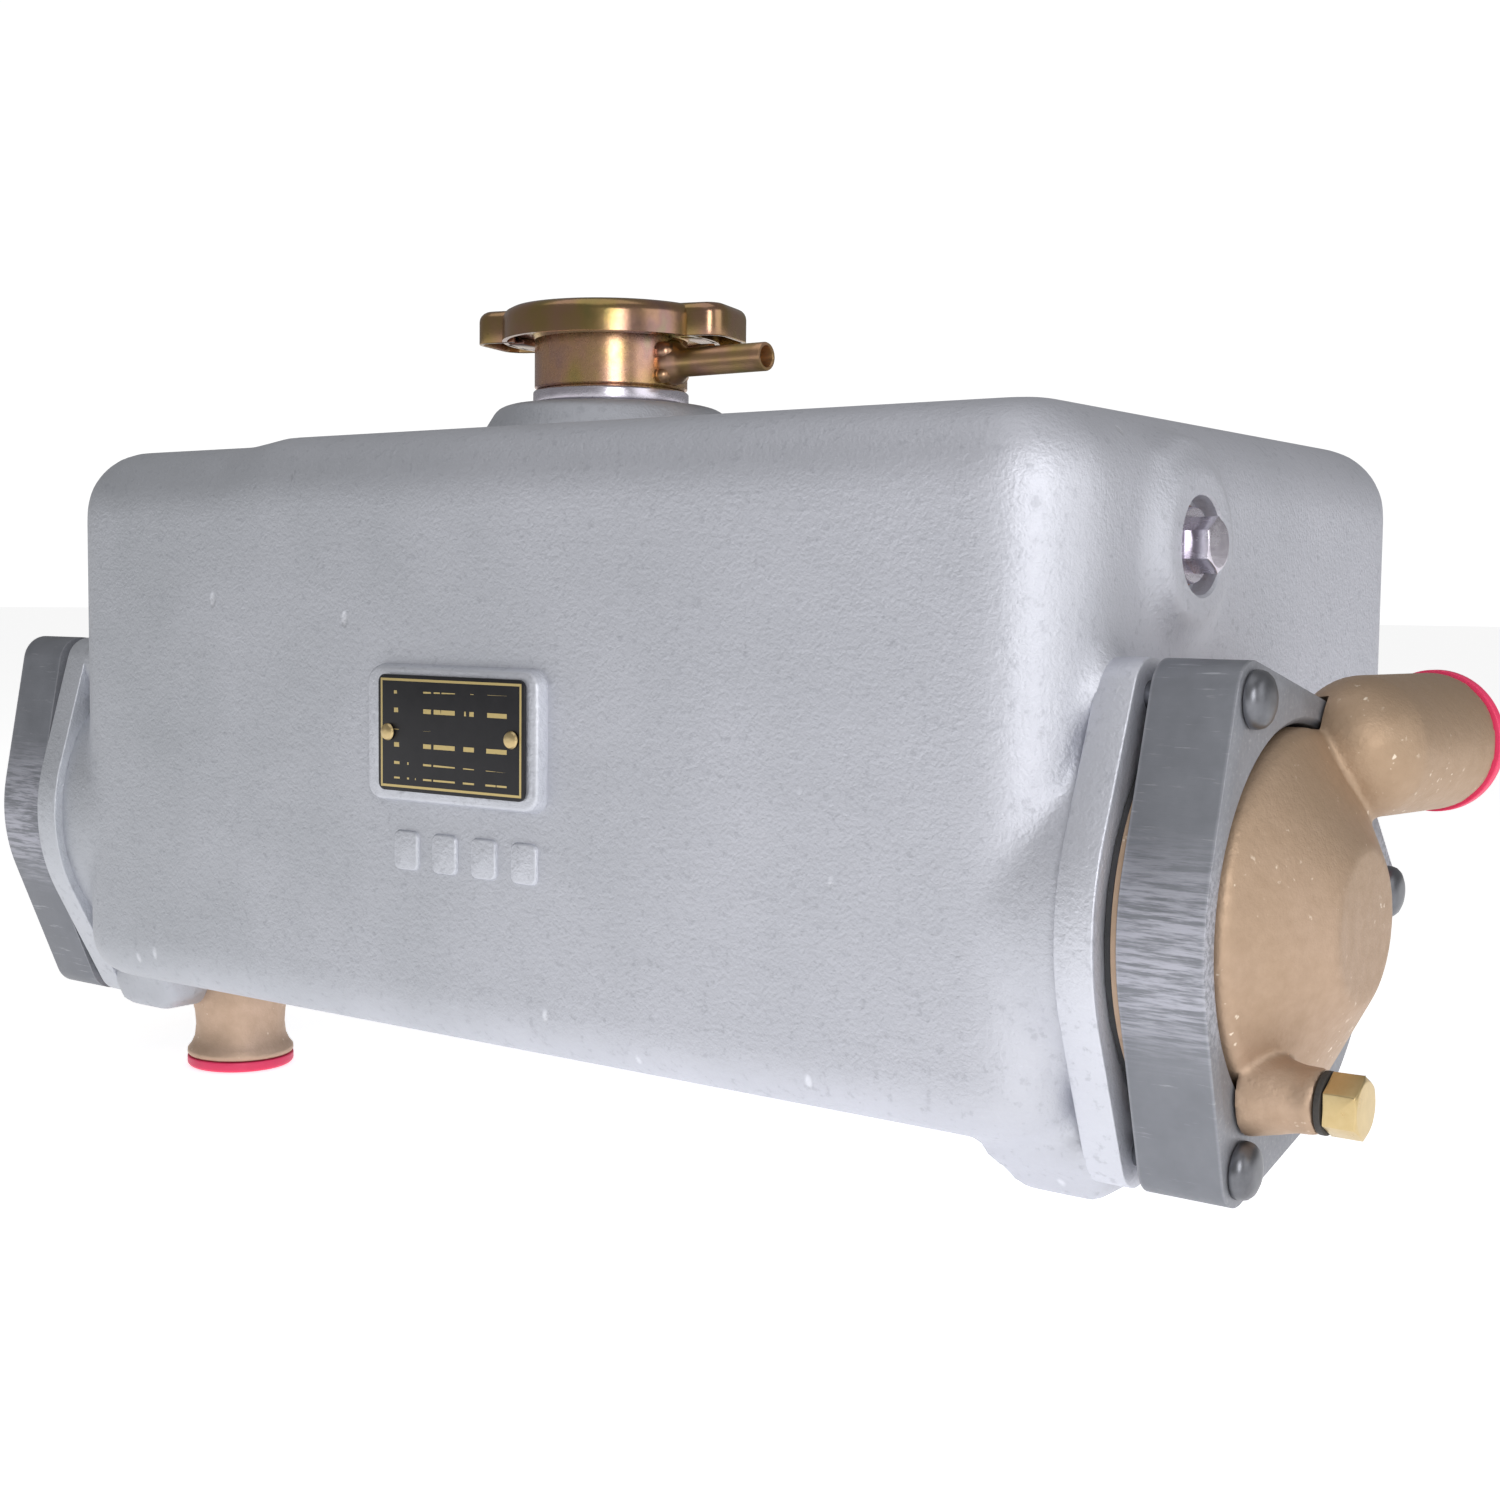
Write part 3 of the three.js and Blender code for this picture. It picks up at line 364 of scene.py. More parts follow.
round_edges(tank, upright, 20, 10)
round_edges(tank, level_rim(105.4), 17.9, 10)
round_edges(tank, level_rim(18), 17.9, 10)
lower = round_edges(block((-159.5, -47, -46.4), (159.5, 47, 60)), upright, 20, 10)
round_edges(lower, level_rim(-46.4), 12, 8)
casting = [tank, lower, turned([(47, -162), (47, 162)], along=ALONG_X, sides=128)]
casting.append(turned([(46, 99.4), (45, 103.9), (40, 106.4), (36.2, 109.9), (34, 114),
                       (32.4, 116.8), (29.5, 118)], NECK))
casting.append(turned([(24, -6), (23.5, 0.2), (20, 1.2), (18.2, 2.6), (16.8, 4)], END_BOSS,
                      ALONG_X))
casting.append(turned([(25, -6), (24.5, 0.3), (21, 1.6), (19.2, 4), (19, 7.2), (18.2, 8)], INLET,
                      ALONG_Y))
SCREWS = {side: [(52.9 * math.cos(math.radians(turn)), 52.9 * math.sin(math.radians(turn)))
                 for turn in ((0, 120, 240) if side > 0 else (6, 126, 246))] for side in (1, -1)}
for side, along in ((1, ALONG_X), (-1, BACK_ALONG_X)):
    for y, z in SCREWS[side]:
        casting.append(turned([(8, 136), (8, 162)], (0, y, z), along, 32))
    foot = block((side * 145 - 17.5, -28, -58.5), (side * 145 + 16.5, 28, -30)) if side > 0 else \
        block((side * 145 - 16.5, -28, -58.5), (side * 145 + 17.5, 28, -30))
    pick(foot, 'VERT', lambda co: co.z < at(0, 0, -50).z and abs(co.x) < 140 * MM)
    bpy.ops.transform.translate(value=(side * 12 * MM, 0, 0))
    bpy.ops.object.mode_set(mode='OBJECT')
    round_edges(foot, lambda a, b: min(a.z, b.z) < at(0, 0, -55).z, 3, 4)
    casting.append(foot)
casting = poured(joined(*casting), 1.9, 8)
hollow = block((-145, -33, 52), (145, 135, 95))
neck_hole = turned([(20.3, 90), (20.3, 130)], NECK)
bore = turned([(39, -180), (39, 180)], along=ALONG_X)
recess = turned([(10.6, -1), (10.6, 3.4), (11.3, 4.1), (12.4, 12)], END_BOSS, ALONG_X, 96)
plug_hole = turned([(5.3, -20), (5.3, 2)], END_BOSS, ALONG_X, 48)
outlet_hole = turned([(11.5, -70), (11.5, -35)], (-139, 0, 0), ALONG_Z, 64)
inlet_hole = turned([(11.5, -12), (11.5, 14)], INLET, ALONG_Y, 64)
foot_holes = [turned([(4, -62), (4, -48.5)], (x, y, 0), ALONG_Z, 32)
              for x in (-150, 150) for y in (-20, 20)]
cut_away(casting, hollow, neck_hole, bore, recess, plug_hole, outlet_hole, inlet_hole, *foot_holes)
fitted(casting, 'tank_body', 'tank', 'cast_aluminium', cast_skin, 'header_tank', smooth=40)

# ---- Machined flanges of the casting -----------------------------------------------------------
# Each end of the barrel has a flange with three lugs, faced on a lathe and left with broken edges.
# It is part of the casting; its rim is a little rougher than the tank and is painted lighter, as
# painted light.
# Painted light: a copy of the casting finish a little lighter, for the flanges, the nameplate pad and
# the cast marks.
lit_casting_skin = blasted_aluminium('casting_lighter_copy', 1.12, 0.44)


def lugged(side, near, far, main, lug):
    """A plate with three lugs on one end of the barrel: the hull of its circle and of the lugs'."""
    along = ALONG_X if side > 0 else BACK_ALONG_X
    rounds = [turned([(main, near), (main, far)], along=along, sides=144)]
    for y, z in SCREWS[side]:
        rounds.append(turned([(lug, near), (lug, far)], (0, y, z), along, 48))
    plate = joined(*rounds)
    bpy.ops.object.mode_set(mode='EDIT')
    bpy.ops.mesh.select_all(action='SELECT')
    bpy.ops.mesh.convex_hull()
    bpy.ops.mesh.select_all(action='SELECT')
    bpy.ops.mesh.dissolve_limited(angle_limit=math.radians(0.5))
    bpy.ops.mesh.select_all(action='SELECT')
    bpy.ops.mesh.normals_make_consistent(inside=False)
    bpy.ops.object.mode_set(mode='OBJECT')
    return plate


for side, word in ((1, 'right'), (-1, 'left')):
    along = ALONG_X if side > 0 else BACK_ALONG_X
    flange = cut_away(lugged(side, 159.8, 168.2, 49.3, 7.5),
                      turned([(39, 150), (39, 175)], along=along, sides=128))
    fitted(softened(flange, 0.9), f'flange_{word}', 'tank', 'cast_aluminium', lit_casting_skin)

# ---- Nameplate pad and cast marks --------------------------------------------------------------
# A raised pad on the front face carries the nameplate, and a row of plain bars stands below it where
# such castings carry their marks. Both come from the pattern, so their flanks slope.
pad = block((-30.8, -50, 12.5), (28.2, -44, 47.9))
pick(pad, 'FACE', lambda centre, normal: normal.y < -0.9)
bpy.ops.transform.resize(value=(56 / 59, 1, 32.4 / 35.4), center_override=at(-1.3, -50, 30.2))
bpy.ops.object.mode_set(mode='OBJECT')
round_edges(pad, lambda a, b: abs(a.y - b.y) > 3 * MM, 4, 5)
# The pad takes the lighter copy of the casting finish, as painted light.
fitted(softened(pad, 0.7), 'nameplate_pad', 'tank', 'cast_aluminium', lit_casting_skin)

for i in range(4):
    x = -23 + 13 * i
    mark = block((x, -47.8, -4), (x + 9, -46, 6.6))
    pick(mark, 'FACE', lambda centre, normal: normal.y < -0.9)
    bpy.ops.transform.resize(value=(0.86, 1, 0.88), center_override=at(x + 4.5, -47.8, 1.3))
    bpy.ops.object.mode_set(mode='OBJECT')
    round_edges(mark, lambda a, b: abs(a.y - b.y) > MM, 1.6, 4)
    # The marks take the lighter copy of the casting finish, as painted light.
    fitted(softened(mark, 0.25), f'cast_mark_{i + 1}', 'tank', 'cast_aluminium', lit_casting_skin)

# ---- Clamp rings -------------------------------------------------------------------------------
# Thick steel rings with three lugs clamp the end covers to the barrel. They are painted dark grey;
# a streaky painted highlight runs along the middle of the rim, and the paint is bright on the edges.
ring_paint = Finish('ring_paint', 0.55)
rubbing_and_highlight_streaks = ring_paint.cloud(3.2, 4, 0.7, ring_paint.stretched(0.25, 3, 3))
smears = ring_paint.cloud(9, 3, 0.6)
out = ring_paint.side('X').maths('ABSOLUTE', ring_paint.side('X'))
edge = ring_paint.between(0.1722, 0.1716, out) + ring_paint.between(0.1886, 0.1892, out)
scuffs = ring_paint.between(0.60, 0.72, rubbing_and_highlight_streaks)
height = ring_paint.side('Z') - axis_height
# Painted highlight: a lighter, streaky band round the middle height of the rim, where the light
# glances off it.
painted_highlight_band = ring_paint.between(0.026, 0.006, height.maths('ABSOLUTE', height + 0.002))
paint = ring_paint.mixed(smears, (0.17, 0.178, 0.20), (0.27, 0.28, 0.31))
paint = ring_paint.mixed(painted_highlight_band * ring_paint.between(0.38, 0.62, rubbing_and_highlight_streaks) * 0.7, paint,
                         (0.58, 0.58, 0.66))
paint = ring_paint.mixed(scuffs * 0.6, paint, (0.42, 0.43, 0.47))
paint = ring_paint.mixed(edge.maths('MULTIPLY', edge, 0.5, clamp=True) * rubbing_and_highlight_streaks, paint,
                         (0.5, 0.5, 0.54))
ring_paint.wear(paint, 0.42 + 0.2 * smears - 0.12 * scuffs,
                rubbing_and_highlight_streaks * 0.6 + ring_paint.cloud(0.7, 2) * 0.4, 0.00012, 0.6)

for side, word in ((1, 'right'), (-1, 'left')):
    along = ALONG_X if side > 0 else BACK_ALONG_X
    ring = lugged(side, 171.4, 189.4, 46, 7.5)
    opening = turned([(40, 165), (40, 188.0), (42.4, 190.4), (42.4, 195)], along=along, sides=128)
    cut_away(ring, opening)
    fitted(softened(ring, 0.9, 30), f'ring_{word}', 'tank', 'ring_paint', ring_paint,
           f'clamp_ring_{word}', smooth=25)

# ---- Clamp screws ------------------------------------------------------------------------------
# Six dome-headed steel screws, blackened, go through the rings' lugs into the flanges. Their heads are
# satin, with a slow drift between darker and lighter steel.
black_steel = Finish('blackened_steel', 0.85)
wisps = black_steel.cloud(3.5, 4, 0.6)
black_steel.wear(black_steel.mixed(wisps, (0.10, 0.103, 0.112), (0.24, 0.245, 0.27)),
                 0.26 + 0.2 * wisps, wisps, 0.00004, 0.5)

for side, word in ((1, 'right'), (-1, 'left')):
    along = ALONG_X if side > 0 else BACK_ALONG_X
    for i, (y, z) in enumerate(SCREWS[side]):
        screw = turned([(2.6, 154.2), (3, 155), (3, 189.7), (5.8, 189.7), (5.8, 190.7),
                        (5.5, 191.7), (4.8, 192.5),
                        (3.6, 193.1), (2.4, 193.4), (1.2, 193.45)], (0, y, z), along, 48)
        fitted(softened(screw, 0.15, 40), f'screw_{word}_{i + 1}', 'tank', 'dark_steel',
               black_steel,
               f'clamp_screw_{word}_{i + 1}')

# ---- End covers --------------------------------------------------------------------------------
# Sand-cast bronze cones close the cooler's ends. Each has an elbow with a hose pipe and a small boss
# for its drain plug; the flange under the ring is turned, the rest is left as cast.
def cast_bronze(name, tint=1.0):
    finish = Finish(name, 0.68)
    sand = finish.cloud(1.1, 3, 0.65)
    pits = finish.cloud(3.4, 4, 0.6)
    blush = finish.cloud(34, 3, 0.5)
    # Painted glints: small pale specks in the colour where the cast grain would catch the light; they
    # are also a little smoother.
    painted_glints = (finish.between(0.66, 0.74, finish.cloud(1.9, 2, 0.5))
              * finish.between(0.48, 0.6, finish.cloud(16, 2)))
    # Painted shade: the bronze is painted darker higher up and lighter low down, as the light falls.
    painted_shade_above = finish.between(0.03, 0.1, finish.side('Z'))
    tone = finish.mixed(blush, tinted(tint, 0.47, 0.33, 0.22), tinted(tint, 0.64, 0.48, 0.39))
    tone = finish.mixed(painted_shade_above * 0.45, tone, tinted(tint, 0.36, 0.255, 0.15))
    tone = finish.mixed(pits.maths('MULTIPLY', pits, 0.55), tone, tinted(tint, 0.34, 0.235, 0.15))
    tone = finish.mixed(painted_glints * 0.7, tone, (0.93, 0.82, 0.68))
    return finish.wear(tone, 0.44 + 0.2 * pits - 0.14 * painted_glints, sand * 0.5 + pits * 0.6 + blush,
                       0.00028, 0.8)


bronze_skin = cast_bronze('sand_cast_bronze')
PIPE_LEAN = (4.9 / 29.411, 29 / 29.411)

for side, word in ((1, 'right'), (-1, 'left')):
    along = ALONG_X if side > 0 else BACK_ALONG_X
    pipe_way = (side * PIPE_LEAN[0], PIPE_LEAN[1], 0)
    elbow_at = (side * 194.5, 22, 34.5)
    cone = turned([(39.2, 171.6), (39.2, 189.6), (37.9, 191.2), (17, 203.2), (15.6, 203.9),
                   (12, 203.9)], along=along, sides=128)
    bpy.ops.object.select_all(action='DESELECT')
    bpy.ops.mesh.primitive_uv_sphere_add(segments=64, ring_count=32, radius=15 * MM,
                                         location=at(*elbow_at))
    elbow = settle(bpy.context.object)
    pipe = turned([(15, -2), (15, 29.41)], elbow_at, pipe_way)
    boss = turned([(9, 189.6), (7.6, 196), (6.6, 200), (6.5, 204)], (0, side * -22, -31), along, 48)
    cover = poured(joined(cone, elbow, pipe, boss), 0.75, 5)
    relief = cut_away(lugged(side, 170, 190, 47, 8.5),
                      turned([(39.3, 160), (39.3, 200)], along=along, sides=128))
    mouth = turned([(12.5, 20.4), (12.5, 50)], elbow_at, pipe_way, 64)
    water_way = turned([(7.5, 0), (7.5, 24)], (side * 198.7, 22, 34.5), pipe_way, 64)
    thread_hole = turned([(3.4, 188), (3.4, 210)], (0, side * -22, -31), along, 32)
    cut_away(cover, relief, mouth, water_way, thread_hole)
    rim = turned([(39, 170), (45.2, 170), (45.2, 171.1), (39, 171.1)], along=along, sides=128,
                 through=True)
    fitted(joined(cover, rim), f'cover_{word}', 'tank', 'cast_bronze', bronze_skin,
           f'end_cover_{word}', smooth=38)

# ---- Drain plugs and washers -------------------------------------------------------------------
# A small brass hexagon plug with a soft washer drains each end cover. The plug is turned from bar,
# its corners chamfered, and it has dulled a little in handling.
brass = Finish('machined_brass', 0.92)
tarnish = brass.cloud(4, 4, 0.6)
turning = brass.cloud(0.5, 2, 0.5, brass.stretched(3, 0.4, 0.4))
brass.wear(brass.mixed(tarnish, (0.50, 0.36, 0.16), (0.74, 0.59, 0.33)), 0.2 + 0.22 * tarnish,
           turning, 0.00004, 0.5)
washer_black = Finish('washer_fibre', 0.0)
fibre = washer_black.cloud(0.8, 3, 0.7)
washer_black.wear(washer_black.mixed(fibre, (0.018, 0.017, 0.017), (0.07, 0.062, 0.055)),
                  0.5 + 0.3 * fibre, fibre, 0.00008)


def hex_head(across, low, high, centre, along):
    """A hexagon head, its outer corners chamfered by turning."""
    bar = turned([(across / math.sqrt(3), low), (across / math.sqrt(3), high)], centre, along, 6,
                 twist=30)
    chamfer = turned([(across, low - 1), (across, high - across * 0.17), (across * 0.465, high),
                      (across * 0.4, high)],
                     centre, along, 64)
    shaped(bar, 'BOOLEAN', operation='INTERSECT', solver='MANIFOLD', object=chamfer)
    bpy.data.objects.remove(chamfer)
    return softened(bar, 0.25, 15)


for side, word in ((1, 'right'), (-1, 'left')):
    along = ALONG_X if side > 0 else BACK_ALONG_X
    centre = (0, side * -22, -31)
    plug = joined(hex_head(11, 205.9, 212.5, centre, along),
                  turned([(2.8, 193.9), (3.1, 194.6), (3.1, 206.2)], centre, along, 32))
    fitted(plug, f'plug_{word}', f'drain_plug_{word}_body', 'brass', brass, f'drain_plug_{word}',
           smooth=25)
    washer = turned([(3.4, 204.3), (6.2, 204.3), (6.2, 205.6), (3.4, 205.6)], centre, along, 64,
                    through=True)
    fitted(softened(washer, 0.2), f'washer_{word}', 'tank', 'copper', washer_black,
           f'drain_washer_{word}')

# ---- Transit caps ------------------------------------------------------------------------------
# Pink-red moulded caps keep dirt out of all four hose pipes until they are fitted: a rim over the
# pipe's end and a hollow plug inside it, in soft plastic with a faint moulded grain.
red_plastic = Finish('transit_cap_plastic', 0.0)
swirl = red_plastic.cloud(7, 3, 0.5)
orange_peel = red_plastic.cloud(0.8, 2, 0.5)
red_plastic.wear(red_plastic.mixed(swirl, (0.72, 0.025, 0.10), (0.88, 0.06, 0.17)),
                 0.34 + 0.16 * swirl,
                 orange_peel, 0.00005, 0.5)


def transit_cap(centre, along):
    cap = turned([(12.0, -8), (12.2, -7.4), (12.2, 0.3), (15.6, 0.3), (15.6, 2.5), (14.9, 3.3),
                  (11.2, 3.3), (10, 2.4),
                  (9.6, -6.2), (0.4, -6.2)], centre, along, 96)
    return softened(cap, 0.3)


for side, word in ((1, 'right'), (-1, 'left')):
    pipe_way = (side * PIPE_LEAN[0], PIPE_LEAN[1], 0)
    cap = transit_cap((side * 199.4, 51, 34.5), pipe_way)
    fitted(cap, f'water_cap_{word}_piece', f'water_cap_{word}', 'red_plastic', red_plastic,
           f'water_pipe_cap_{word}')
fitted(transit_cap((-139, 0, -74.5), DOWN), 'outlet_cap_piece', 'outlet_cap', 'red_plastic',
       red_plastic, 'coolant_outlet_cap')
fitted(transit_cap((110, 173, 62), ALONG_Y), 'inlet_cap_piece', 'inlet_cap', 'red_plastic',
       red_plastic, 'coolant_inlet_cap')

# ---- Hose stubs --------------------------------------------------------------------------------
# Two bronze stubs carry the coolant hoses: one hangs under the left end, one stands on the back.
# Each is waisted, with a raised lip that stops the hose from slipping off.
stub_skin = cast_bronze('stub_bronze', 1.15)
for word, centre, along in (('outlet', (-139, 0, -50.5), DOWN), ('inlet', INLET, ALONG_Y)):
    stub = turned([(11.5, 0.3), (14, 0.3), (14, 8), (13.3, 11), (13.0, 15), (13.4, 18.5),
                   (14.4, 20.8), (15.5, 22.2),
                   (15.6, 23.2), (15.2, 24), (12.6, 24), (12.5, 14), (11.5, 13)], centre, along, 96,
                  through=True)
    fitted(softened(stub, 0.3, 45), f'stub_{word}', 'tank', 'cast_bronze', stub_skin,
           f'coolant_{word}_stub', smooth=45)

# ---- Filler neck, collar and overflow pipe -----------------------------------------------------
# The neck is drawn steel tube with a rolled rim, plated in yellow zinc that shows pink and green by
# turns. A bright ring closes its foot, and a thin overflow pipe is brazed into its side.
def yellow_zinc(name, rough=0.16, deep=1.0):
    finish = Finish(name, 0.95)
    drift = finish.cloud(16, 3, 0.55)
    film = finish.cloud(9, 2, 0.5, finish.stretched(1, 1, 0.45))
    smear = finish.cloud(2.2, 4, 0.6)
    hue = finish.node('ShaderNodeValToRGB', {'stops': [
        (0.30, tinted(deep, 0.46, 0.46, 0.16)), (0.42, tinted(deep, 0.72, 0.50, 0.19)),
        (0.54, tinted(deep, 0.80, 0.47, 0.30)), (0.64, tinted(deep, 0.62, 0.37, 0.34)),
        (0.74, tinted(deep, 0.50, 0.52, 0.30))]}, {0: drift * 0.6 + film * 0.4})
    tone = finish.mixed(smear * 0.35, hue, tinted(deep, 0.42, 0.27, 0.13))
    return finish.wear(tone, rough + 0.14 * smear, smear, 0.00005, 0.5)


zinc_skin = yellow_zinc('yellow_zinc', 0.2, 0.8)
neck = turned([(18.4, 98.4), (19.9, 98.4), (19.9, 122.5), (21.2, 122.6), (21.8, 123.2),
               (21.8, 136.6), (22.6, 137.8),
               (27.8, 138), (28.4, 138.4), (28.4, 139), (27.8, 139.4), (19.2, 139.4), (18.4, 138.6),
               (18.4, 121.5),
               (14.2, 121), (14, 120.6), (14, 119.6), (18.4, 118.5)], NECK, ALONG_Z, 128,
              through=True)
notches = []
for turn in (105, 285):
    way = math.radians(turn)
    bpy.ops.object.select_all(action='DESELECT')
    bpy.ops.mesh.primitive_cube_add(size=1,
                                    location=at(-37 + 28 * math.cos(way), 51 + 28 * math.sin(way),
                                                138),
                                    rotation=(0, 0, way), scale=(8 * MM, 19 * MM, 4 * MM))
    notches.append(settle(bpy.context.object))
cut_away(neck, turned([(2.8, 14), (2.8, 26)], (-37, 51, 129.2), ALONG_X, 32), *notches)
fitted(neck, 'neck', 'tank', 'yellow_zinc', zinc_skin, 'filler_neck', smooth=30)

bright_zinc = Finish('bright_zinc', 0.95)
haze = bright_zinc.cloud(5, 3, 0.6, bright_zinc.stretched(1, 1, 3))
bright_zinc.wear(bright_zinc.mixed(haze, (0.60, 0.54, 0.64), (0.82, 0.80, 0.86)), 0.16 + 0.2 * haze,
                 haze, 0.00005, 0.5)
collar = turned([(20.2, 118.3), (22.2, 118.3), (22.2, 122.2), (20.2, 122.2)], NECK, ALONG_Z, 128,
                through=True)
fitted(softened(collar, 0.7), 'collar', 'tank', 'bright_zinc', bright_zinc, 'neck_collar',
       smooth=50)

pipe_skin = yellow_zinc('overflow_tube', 0.26, 0.72)
tube = turned([(2.8, 20.6), (5.6, 20.8), (6.2, 22.6), (5.6, 24.6), (4.5, 26), (3.95, 27.5),
               (3.9, 52), (3.9, 54.4),
               (3.7, 54.8), (3, 54.8), (2.8, 54.5)], (-37, 51, 129.2), ALONG_X, 64, through=True)
blobs = []
for y, z, radius in ((-3.4, 2.8, 3.0), (-4.2, -3.6, 2.2), (3.6, -3, 2.4), (1, 4.8, 2.0)):
    bpy.ops.object.select_all(action='DESELECT')
    bpy.ops.mesh.primitive_uv_sphere_add(segments=32, ring_count=16, radius=radius * MM,
                                         location=at(-37 + 22.4, 51 + y, 129.2 + z))
    blobs.append(settle(bpy.context.object))
fitted(joined(tube, *blobs), 'overflow_tube', 'tank', 'yellow_zinc', pipe_skin, 'overflow_pipe',
       smooth=40)

# ---- Pressure cap ------------------------------------------------------------------------------
# A pressed steel cap with two turned-down ears to grip it by, plated like the neck. Its top has a
# shallow pressed step, and each ear is a hollow lobe with rounded corners.
cap_skin = yellow_zinc('cap_zinc', 0.16, 0.52)
cap = turned([(29.6, 136), (31, 136), (31, 141.6), (30.7, 143), (29.9, 144.2), (28.4, 145),
              (25.5, 145.2), (24.6, 144.6),
              (14.6, 144.7), (13.6, 145.5), (12, 145.7), (2.8, 145.7), (2.8, 144.4), (12, 144.3),
              (24, 143.4),
              (28.2, 143.4), (29.6, 142)], NECK, ALONG_Z, 128, through=True)
parts = [cap]
for turn in (15, 195):
    ear = block((25, -11.6, 135.9), (37.9, 11.6, 144.7))
    pick(ear, 'FACE', lambda centre, normal: normal.z < -0.9 or normal.x < -0.9)
    bpy.ops.mesh.delete(type='FACE')
    bpy.ops.object.mode_set(mode='OBJECT')
    round_edges(ear, lambda a, b: abs(a.z - b.z) > 5 * MM and a.x > 30 * MM, 5.5, 8)
    round_edges(ear, lambda a, b: min(a.z, b.z) > at(0, 0, 144).z and max(a.x, b.x) > 30 * MM, 2.4,
                5)
    shaped(ear, 'SOLIDIFY', thickness=1.2 * MM, offset=0)
    softened(ear, 0.25)
    ear.rotation_euler = (0, 0, math.radians(turn))
    ear.location = (-37 * MM, 51 * MM, 0)
    parts.append(settle(ear))
for turn in (15, 195):
    way = math.radians(turn)
    bpy.ops.object.select_all(action='DESELECT')
    bpy.ops.mesh.primitive_cube_add(size=1,
                                    location=at(-37 + 27.4 * math.cos(way),
                                                51 + 27.4 * math.sin(way), 136.7),
                                    rotation=(0, 0, way), scale=(6 * MM, 14 * MM, 1.4 * MM))
    parts.append(softened(settle(bpy.context.object), 0.3))
fitted(joined(*parts), 'cap_cover_piece', 'cap_cover', 'yellow_zinc', cap_skin, 'cap_shell',
       smooth=40)

# ---- Inside the pressure cap -------------------------------------------------------------------
# The rivet holds the cap's rubber gasket, its spring and the valve stack together. These pieces show
# only when the cap is lifted off the neck.
rivet = turned([(4.6, 137.2), (5, 137.6), (5, 138.8), (2.5, 138.8), (2.5, 146.1), (4.9, 146.1),
                (4.8, 146.5),
                (4, 146.9), (2.4, 147.1), (0.6, 147.1)], NECK, ALONG_Z, 64)
fitted(rivet, 'cap_rivet_piece', 'cap_core', 'yellow_zinc', cap_skin, 'cap_rivet')

rubber = Finish('black_rubber', 0.0)
bloom = rubber.cloud(3, 4, 0.6)
rubber.wear(rubber.mixed(bloom, (0.012, 0.012, 0.013), (0.045, 0.045, 0.048)), 0.55 + 0.25 * bloom,
            bloom, 0.00008)
gasket = turned([(2.8, 139.7), (27.6, 139.7), (27.6, 140.9), (2.8, 140.9)], NECK, ALONG_Z, 96,
                through=True)
fitted(softened(gasket, 0.3), 'cap_gasket', 'cap_core', 'rubber', rubber, 'cap_top_gasket')
valve_rubber = turned([(11.5, 121.8), (17, 121.8), (17, 123.3), (11.5, 123.3)], NECK, ALONG_Z, 96,
                      through=True)
fitted(softened(valve_rubber, 0.4), 'valve_rubber', 'pressure_valve', 'rubber', rubber,
       'pressure_valve_seal')
dish = turned([(2.1, 123.6), (16.5, 123.6), (16.5, 125), (13.4, 125), (13.4, 126.6), (12.4, 126.6),
               (12.4, 125),
               (2.1, 125)], NECK, ALONG_Z, 96, through=True)
fitted(softened(dish, 0.2), 'valve_dish', 'pressure_valve', 'brass', brass, 'pressure_valve_plate')
poppet = turned([(2.8, 121.4), (3, 121.4), (5.4, 122.4), (5.4, 123.3), (1.6, 123.3), (1.6, 128.6),
                 (3.4, 128.6),
                 (3.4, 129.6), (0.6, 129.6)], NECK, ALONG_Z, 48)
fitted(softened(poppet, 0.15), 'vacuum_poppet', 'vacuum_valve_body', 'brass', brass, 'vacuum_valve')

# ---- Plug in the tank's end --------------------------------------------------------------------
# A bright zinc hexagon plug and its copper washer sit in a counterbored boss on the right end, where
# a sensor would go.
plug_centre = (158.5, 8, 76.3)
plug = joined(hex_head(10.5, 2.6, 8.6, plug_centre, ALONG_X),
              turned([(4.6, -9), (5, -8.4), (5, 1.6), (8, 1.6), (8.2, 1.8), (8.2, 2.7), (7.9, 3),
                      (3, 3)], plug_centre, ALONG_X, 64))
fitted(plug, 'end_plug', 'tank_plug_body', 'bright_zinc', bright_zinc, 'tank_plug', smooth=25)
copper = Finish('soft_copper', 0.95)
stain = copper.cloud(6, 4, 0.6)
copper.wear(copper.mixed(stain, (0.36, 0.15, 0.08), (0.72, 0.36, 0.24)), 0.24 + 0.25 * stain, stain,
            0.00005, 0.5)
washer = turned([(5.3, 0.3), (8.6, 0.3), (8.6, 1.3), (5.3, 1.3)], plug_centre, ALONG_X, 64,
                through=True)
fitted(softened(washer, 0.25), 'end_plug_washer', 'tank', 'copper', copper, 'tank_plug_washer')

# ---- Nameplate and its rivets ------------------------------------------------------------------
# A thin black-lacquered plate with a gold border and rows of short gold dashes in place of any
# lettering, held to its pad by two brass drive rivets.
plate_finish = Finish('nameplate_lacquer', 0.35)
across, up = plate_finish.side('X'), plate_finish.side('Z')
low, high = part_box('nameplate')
middle = (low + high) / 2
rim_x = (across - middle.x).maths('ABSOLUTE', across - middle.x)
rim_z = (up - middle.z).maths('ABSOLUTE', up - middle.z)
half_x, half_z = (high.x - low.x) / 2, (high.z - low.z) / 2
border = (rim_x > half_x - 1.5 * MM) + (rim_z > half_z - 1.5 * MM)
edge_line = (rim_x < half_x - 0.9 * MM) * (rim_z < half_z - 0.9 * MM)
lines = up.maths('PINGPONG', up, 2.1 * MM) > 1.55 * MM
words = plate_finish.cloud(2.4, 1, 0.5, plate_finish.stretched(1, 1, 0.02)) > 0.5
